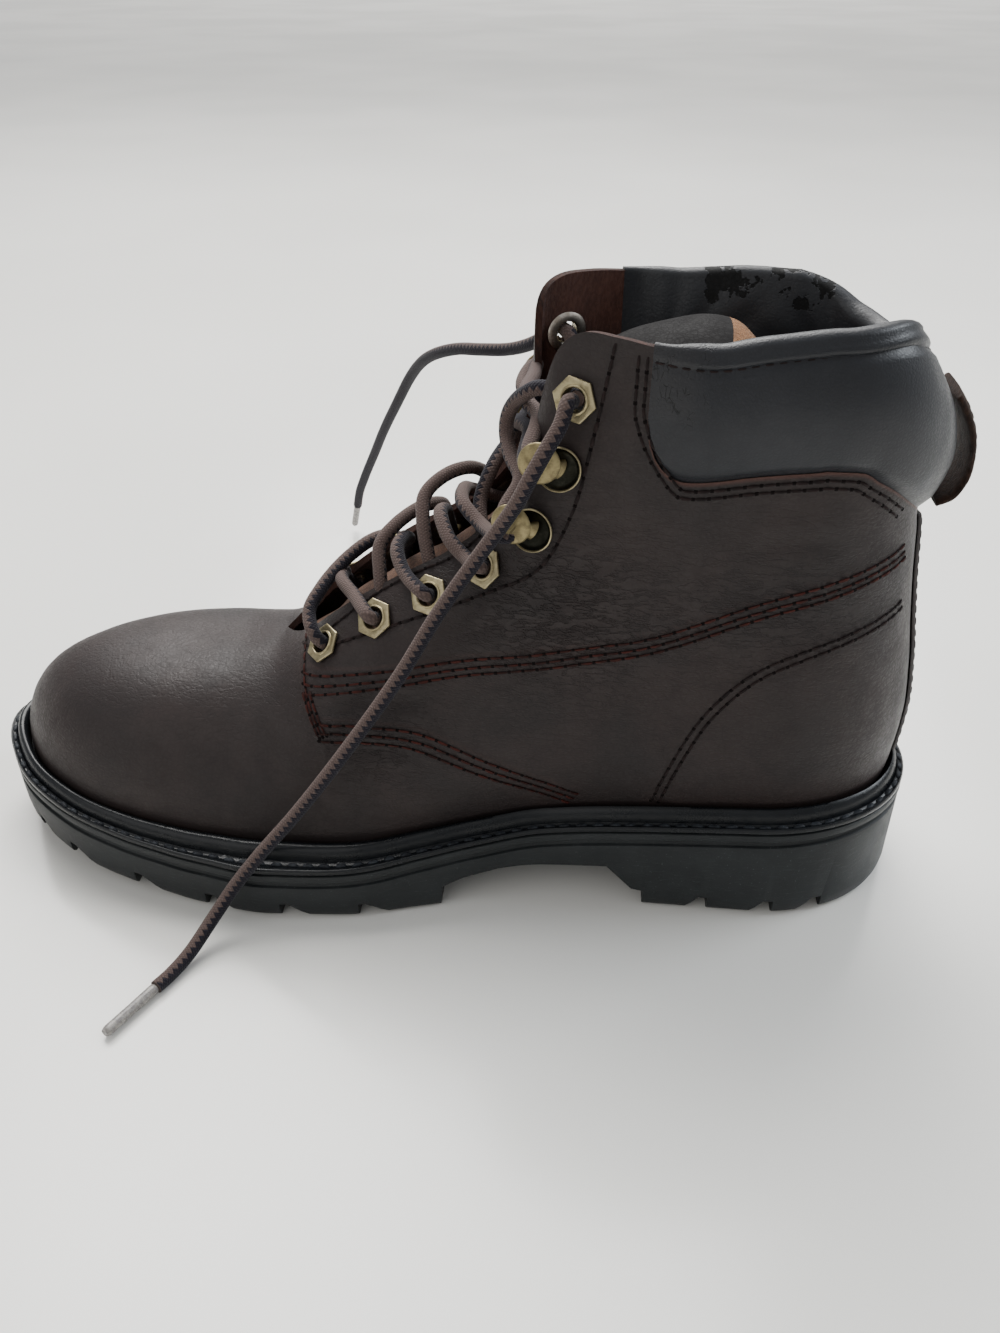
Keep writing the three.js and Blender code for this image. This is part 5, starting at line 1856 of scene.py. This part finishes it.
# ---- Tongue and insole ----
@dataclass(frozen=True)
class Tongue:
    """The arched tongue: suede under the laces, a padded leather top, and a tan felt end."""

    route: tuple[tuple[float, float, float, float], ...] = ((226, 63, 19, 5), (209, 68, 21, 7),
                                                            (196, 76.5, 22.5, 10), (183, 89, 23.5, 12),
                                                            (171, 98, 24.5, 13), (160, 105, 25.5, 13),
                                                            (149, 111.5, 26.5, 13.5), (139, 120, 27.5, 14),
                                                            (130.5, 131.5, 28.5, 15), (125, 146, 29, 15.5),
                                                            (120, 160, 28.5, 15), (112, 170, 28, 13),
                                                            (102, 176.2, 26, 10.5), (90, 180, 24, 8.5),
                                                            (79, 182, 23, 8), (70, 180.4, 22.5, 8),
                                                            (64.5, 175.6, 22, 8))
    thick: Curve = Curve((0, 2.6), (0.6, 3.2), (0.8, 5.2), (1, 4.8))
    pad_from: float = 0.70
    felt_from: float = 0.955
    across: int = 33
    along: int = 150

    def rings(self) -> tuple[Array, Array]:
        """The top and the underside as grids of points, along by across."""
        line = spline(self.route, self.along)
        run = unit(np.gradient(line[:, [0, 1]], axis=0))
        shares = np.linspace(-1, 1, self.across)
        top, under = [], []
        for i, (u, z, half, drop) in enumerate(line):
            t = i / (self.along - 1)
            thick = self.thick(t)
            normal = (run[i, 1], -run[i, 0])
            puff = 0.9 * ramp(self.pad_from, self.pad_from + 0.08, t)
            rows = []
            for share in shares:
                ripple = 0.35 * math.sin(t * 62 + 1.5 * share) * (1 - puff) * (1 - abs(share) ** 4)
                seam = puff * (0.9 * math.exp(-((abs(share) - 0.86) / 0.035) ** 2))
                crown = puff * 0.8 * (1 - share ** 4)
                for depth, keep in ((-ripple - crown + seam, top), (thick, under)):
                    edge = thick * 0.5 * (1 - (1 - abs(share) ** 14) ** 0.5)
                    fall = -drop * share * share - depth + (-edge if keep is top else edge)
                    rows.append((u + normal[0] * fall, LAST.spine(u) + share * half, z + normal[1] * fall))
            top.append(rows[0::2])
            under.append(rows[1::2])
        return np.array(top), np.array(under)

    def build(self, finishes: Finishes) -> list[Piece]:
        """Makes the tongue's body, its pad with its threads, and the felt end."""
        top, under = self.rings()
        bands = ((0, self.pad_from, "suede_tongue", finishes.suede),
                 (self.pad_from, self.felt_from, "tongue_pad", finishes.pad),
                 (self.felt_from, 1, "tongue_felt", finishes.felt))
        made = []
        for start, stop, name, finish in bands:
            first, last = (round(s * (self.along - 1)) for s in (start, stop))
            rings = np.concatenate([top[first:last + 1], under[first:last + 1, ::-1]], axis=1)
            made.append(Build().tube(rings).finished(name, 50, finish))
        stitches = Stitches(0.3, 3.6)
        first = round((self.pad_from + 0.02) * (self.along - 1))
        last = round(0.945 * (self.along - 1))
        for index in (round((1 - 0.86) / 2 * (self.across - 1)), round((1 + 0.86) / 2 * (self.across - 1))):
            line = top[first:last, index]
            normals = unit(line - under[first:last, index])
            stitches.row(line + normals * 0.1, normals, 0, False)
        made.append(stitches.piece("tongue_threads", finishes.thread))
        return made


# ---- Welt, insole and outsole ----
@dataclass(frozen=True)
class Welt:
    """A glossy bead against the upper, and a stitched ledge round the whole boot."""

    bead: tuple[tuple[float, float], ...] = ((0.1, 1.6), (0.5, 3.0), (1.3, 3.9), (2.4, 4.25), (3.5, 3.9),
                                             (4.4, 3.0), (4.9, 1.8), (5.1, 0.5), (5.5, -0.35))
    thick: float = 2.5
    pitch: float = 5.2
    stitch: tuple[float, float, float] = (1.9, 0.85, 0.5)

    def rib_ring(self, rib: Rib) -> Array:
        """The section of the welt at one rib, from its foot over the bead to its outer edge."""
        foot, edge = LAST.reach(rib, 1), LAST.reach(rib)
        at = LAST.section(rib)
        low, high = np.array(at(0.0)), np.array(at(0.06))
        axis = np.array(LAST.plan(rib, 0.0))
        if rib.kind is Kind.SIDE:
            out_by = (abs(high[1] - axis[1]) - abs(low[1] - axis[1])) / max(0.5, high[2] - low[2])
        else:
            out_by = ((np.linalg.norm(high[:2] - axis) - np.linalg.norm(low[:2] - axis))
                      / max(0.5, high[2] - low[2]))
        ring = []
        room = edge - foot

        def put(out: float, up: float) -> None:
            u, v = LAST.plan(rib, foot + out)
            ring.append((u, v, LAST.ledge(u) + up))
        put(0.3, -self.thick + 0.4)
        for out, up in self.bead:
            follow = max(0.0, out_by) * (up + self.thick) * ramp(4, 0, out)
            put(out * min(1, room / 9) + 0.35 + follow, up)
        start = 5.5 * min(1, room / 9) + 0.35
        for share in (0.12, 0.3, 0.5, 0.7, 0.88):
            groove = -0.75 * math.exp(-((share - 0.42) / 0.2) ** 2)
            put(mix(start, room, share), 0.1 + groove)
        put(room - 0.25, 0.0)
        put(room, -0.3)
        put(room, -self.thick + 0.9)
        put(room - 0.35, -self.thick + 0.6)
        return np.array(ring)

    def rings(self) -> Array:
        """The sections of the welt all round."""
        return np.array([self.rib_ring(rib) for rib in LAST.ribs(30, 110, 48)])

    def build(self, finishes: Finishes) -> Piece:
        """Makes the welt as one closed ring."""
        return Build().tube(self.rings(), loop=True).finished("stitched_welt", 60, finishes.welt)

    def threads(self, finishes: Finishes) -> Piece:
        """The thick thread sunk in the ledge's groove."""
        middle = self.rings()[:, 11:13].mean(axis=1)
        line = evenly(np.vstack([middle, middle[:1]]), 1200)
        long, fat, high = self.stitch
        count = round(length_of(line) / self.pitch)
        stops = (np.arange(count) + 0.5) / count * (len(line) - 1)
        dice = random.Random(3)
        build, up = Build(), np.array((0, 0, 1.0))
        turn = turns(10)[:, None]
        for i in stops.astype(int):
            along = unit(line[min(len(line) - 1, i + 2)] - line[max(0, i - 2)])
            across = unit(np.cross(along, up))
            skew = across * dice.uniform(-0.12, 0.12)
            section = across * np.cos(turn) * fat + up * np.sin(turn) * high
            build.tube(np.array([line[i] + (along + skew) * t * long + up * 0.25 * (1 - t * t)
                                 + section * math.sqrt(max(0.02, 1 - abs(t) ** 3)) for t in np.linspace(-1, 1,
                                                                                                        7)]))
        return build.finished("welt_threads", 60, finishes.welt_thread)


def slab(ribs: Sequence[Rib], edge_of: Callable[[Rib], list[UVZ]], name: str) -> Piece:
    """A closed slab under the foot: each rib gives its edge from the top face down to the bottom face.

    Args:
        ribs: Ribs all round.
        edge_of: A function of a rib that returns its edge points.
        name: The piece's name.

    Returns:
        The new object.
    """
    rings = np.array([edge_of(rib) for rib in ribs])
    around, size = rings.shape[:2]
    faces = []
    for i in range(around):
        k = (i + 1) % around
        faces += [(i * size + j, k * size + j, k * size + j + 1, i * size + j + 1) for j in range(size - 1)]
    for i in range(around // 2):
        strip = [c * size for c in (i, i + 1, (around - i - 1) % around, (around - i) % around)]
        corners = list(dict.fromkeys(strip))
        if len(corners) > 2:
            faces.append(tuple(corners[::-1]))
            faces.append(tuple(c + size - 1 for c in corners))
    build = Build()
    build.add(Place.many(rings.reshape(-1, 3)), faces)
    return build.piece(name)


def on_rib(rib: Rib, r: float, height: Callable[[float], float]) -> UVZ:
    """The point at a distance from a rib's axis, at a height that depends on u."""
    u, v = LAST.plan(rib, r)
    return u, v, height(u)


def prism(outline: Sequence[tuple[float, float]], start: float, stop: float) -> Piece:
    """A prism across the boot from an outline of (u, z) points, between two v values."""
    return Build().tube(np.array([[(u, v, z) for u, z in outline] for v in (start, stop)])).piece("cutter")


@dataclass(frozen=True)
class Outsole:
    """The lugged rubber sole, with a light strip and a groove round its side."""

    side: tuple[tuple[float, float], ...] = ((0.5, 0), (0.1, 0.25), (0, 0.7), (0, 2.3), (0.25, 2.65),
                                             (1.35, 2.85), (1.4, 3.2), (1.4, 4.7), (1.2, 5.05), (0.3, 5.3),
                                             (0.2, 5.8), (0.2, 9))
    tread: Curve = Curve((0, 0), (217, 0), (229, 0.1), (243, 1.1), (254, 2), (268, 3.2), (280, 4.7),
                         (293, 6.9), (312, 11))
    lug: float = 6.4
    pitch: float = 25.4
    wide: float = 80.0
    low: float = -5.0
    edge_lug: float = 24.0

    def notch(self, wall: float, roof: float, end: float) -> list[tuple[float, float]]:
        """Outline of a notch: an upright wall, a short roof, and a long bevel back to the tread."""
        return [(wall, self.low), (wall, self.tread(wall) + self.lug), (roof, self.tread(roof) + self.lug),
                (end, self.tread(end) - 0.3), (end, self.low)]

    def cutters(self) -> list[Piece]:
        """Every cutter of the tread: waist, notches of both edges, middle rows and channels."""
        waist = [(85.5, self.low), (85.5, 7.3), (89.5, 8), (98, 17), (116, 15.8), (133, 14.9), (144, 12.5),
                 (151, 9.5), (152, self.low)]
        made = [prism(waist, -self.wide, self.wide)]
        walls = [177.8 + i * self.pitch for i in range(5)]
        fore = [self.notch(w, w - 2.6, w - 11.7) for w in walls] + [self.notch(293.5, 291.5, 286.3)]
        for outline in fore:
            made += [prism(outline, self.edge_lug, self.wide), prism(outline, -self.wide, -self.edge_lug - 4)]
        made += [prism(self.notch(w + 9, w + 3, w + 2), -self.edge_lug, self.edge_lug - 4) for w in walls]
        heel = [self.notch(64.4, 67.5, 72.7), self.notch(43.3, 46.5, 52), self.notch(27.2, 30.5, 36.9)]
        for outline in heel:
            made += [prism(outline, 18, self.wide), prism(outline, -self.wide, -18)]
        made.append(prism(self.notch(50, 57, 58), -14, 14))
        for first, last, left, right in ((158, 284, self.edge_lug - 4, self.edge_lug + 0.1),
                                         (158, 284, -self.edge_lug - 4.1, -self.edge_lug),
                                         (22, 80, 14, 18.1), (22, 80, -18.1, -14)):
            stops = np.linspace(first, last, 12)
            roof = [(u, self.tread(u) + self.lug - 0.3) for u in stops]
            made.append(prism([(first, self.low), *roof, (last, self.low)], left, right))
        return made

    def build(self, finishes: Finishes) -> Piece:
        """Makes the sole, cuts its tread and rounds its edges a little."""
        def edge(rib: Rib) -> list[UVZ]:
            reach = LAST.reach(rib)
            upper = [on_rib(rib, reach - inset, lambda u, d=drop: LAST.seat(u) - d)
                     for inset, drop in self.side]
            lower = [on_rib(rib, reach - inset, lambda u, r=rise: self.tread(u) + r)
                     for inset, rise in ((0.4, 6), (0.8, 3), (1.4, 1.4), (3, 0))]
            return upper + lower
        body = slab(LAST.ribs(26, 90, 40), edge, "lugged_sole")
        waist, *rest = self.cutters()
        cut(body, waist)
        cut(body, joined("tread_cutter", rest), use_self=True)
        apply(body, "BEVEL", width=0.45 * MM, segments=2, limit_method="ANGLE", angle_limit=math.radians(50))
        return smooth(dress(body, finishes.sole), 35)


@dataclass(frozen=True)
class Insole:
    """The felt insole that the foot rests on."""

    inset: float = 3.8
    thick: float = 3.0

    def build(self, finishes: Finishes) -> Piece:
        """Makes the insole with a rounded edge."""
        def edge(rib: Rib) -> list[UVZ]:
            reach = LAST.reach(rib, 1, self.inset)
            return [on_rib(rib, reach - i, lambda u, h=high: LAST.seat(u) + h)
                    for i, high in ((1.2, self.thick + 0.6), (0.3, self.thick + 0.2), (0, self.thick - 0.6),
                                    (0, 0.7))]
        return smooth(dress(slab(LAST.ribs(16, 50, 24), edge, "felt_insole"), finishes.insole), 50)


# ---- The boot ----
class Boot:
    """Every piece of the boot, made in turn."""

    def __init__(self) -> None:
        """Works out what the pieces share."""
        self.finishes = Finishes()
        self.skin = Skin()
        self.studs = Hardware().studs(self.skin)

    def cords(self) -> None:
        """Both free ends of the lace."""
        for end in LACE_ENDS:
            stud = next(s for s in self.studs if s.side == end.side and s.number == 7)
            Laces().end(end, stud, self.finishes)

    def build(self) -> None:
        """Makes and settles every other piece."""
        look = self.finishes
        settle(Laces().crossings(self.studs, look), "lace_yarn", "lacing")
        for stud in self.studs:
            make = Hardware().hook if stud.hook else Hardware().eyelet
            settle(make(stud, look), "eyelet_brass", stud.node)
        settle(Upper().build(self.skin, self.studs, look), "upper_leather", "upper")
        settle(Sewing().build(self.skin, look), "upper_leather")
        settle(Collar().build(look), "collar_leather", "collar")
        settle(Collar().topline(look), "collar_leather")
        settle(Heel().backstay(look), "upper_leather", "backstay")
        settle(Heel().pull_loop(look), "tongue_suede", "pull_loop")
        body, *extras = Tongue().build(look)
        settle(body, "tongue_suede", "tongue")
        for extra in extras:
            settle(extra, "tongue_suede")
        settle(Welt().build(look), "welt_rubber", "welt")
        settle(Welt().threads(look), "welt_rubber")
        settle(Insole().build(look), "insole_felt", "insole")
        settle(Outsole().build(look), "sole_rubber", "outsole")


def main() -> None:
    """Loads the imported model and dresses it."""
    logging.basicConfig(level=logging.INFO, format="%(message)s")
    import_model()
    Place.settle()
    Studio().camera()
    boot = Boot()
    boot.cords()
    boot.build()
    Studio().build()


if __name__ == "__main__":
    main()
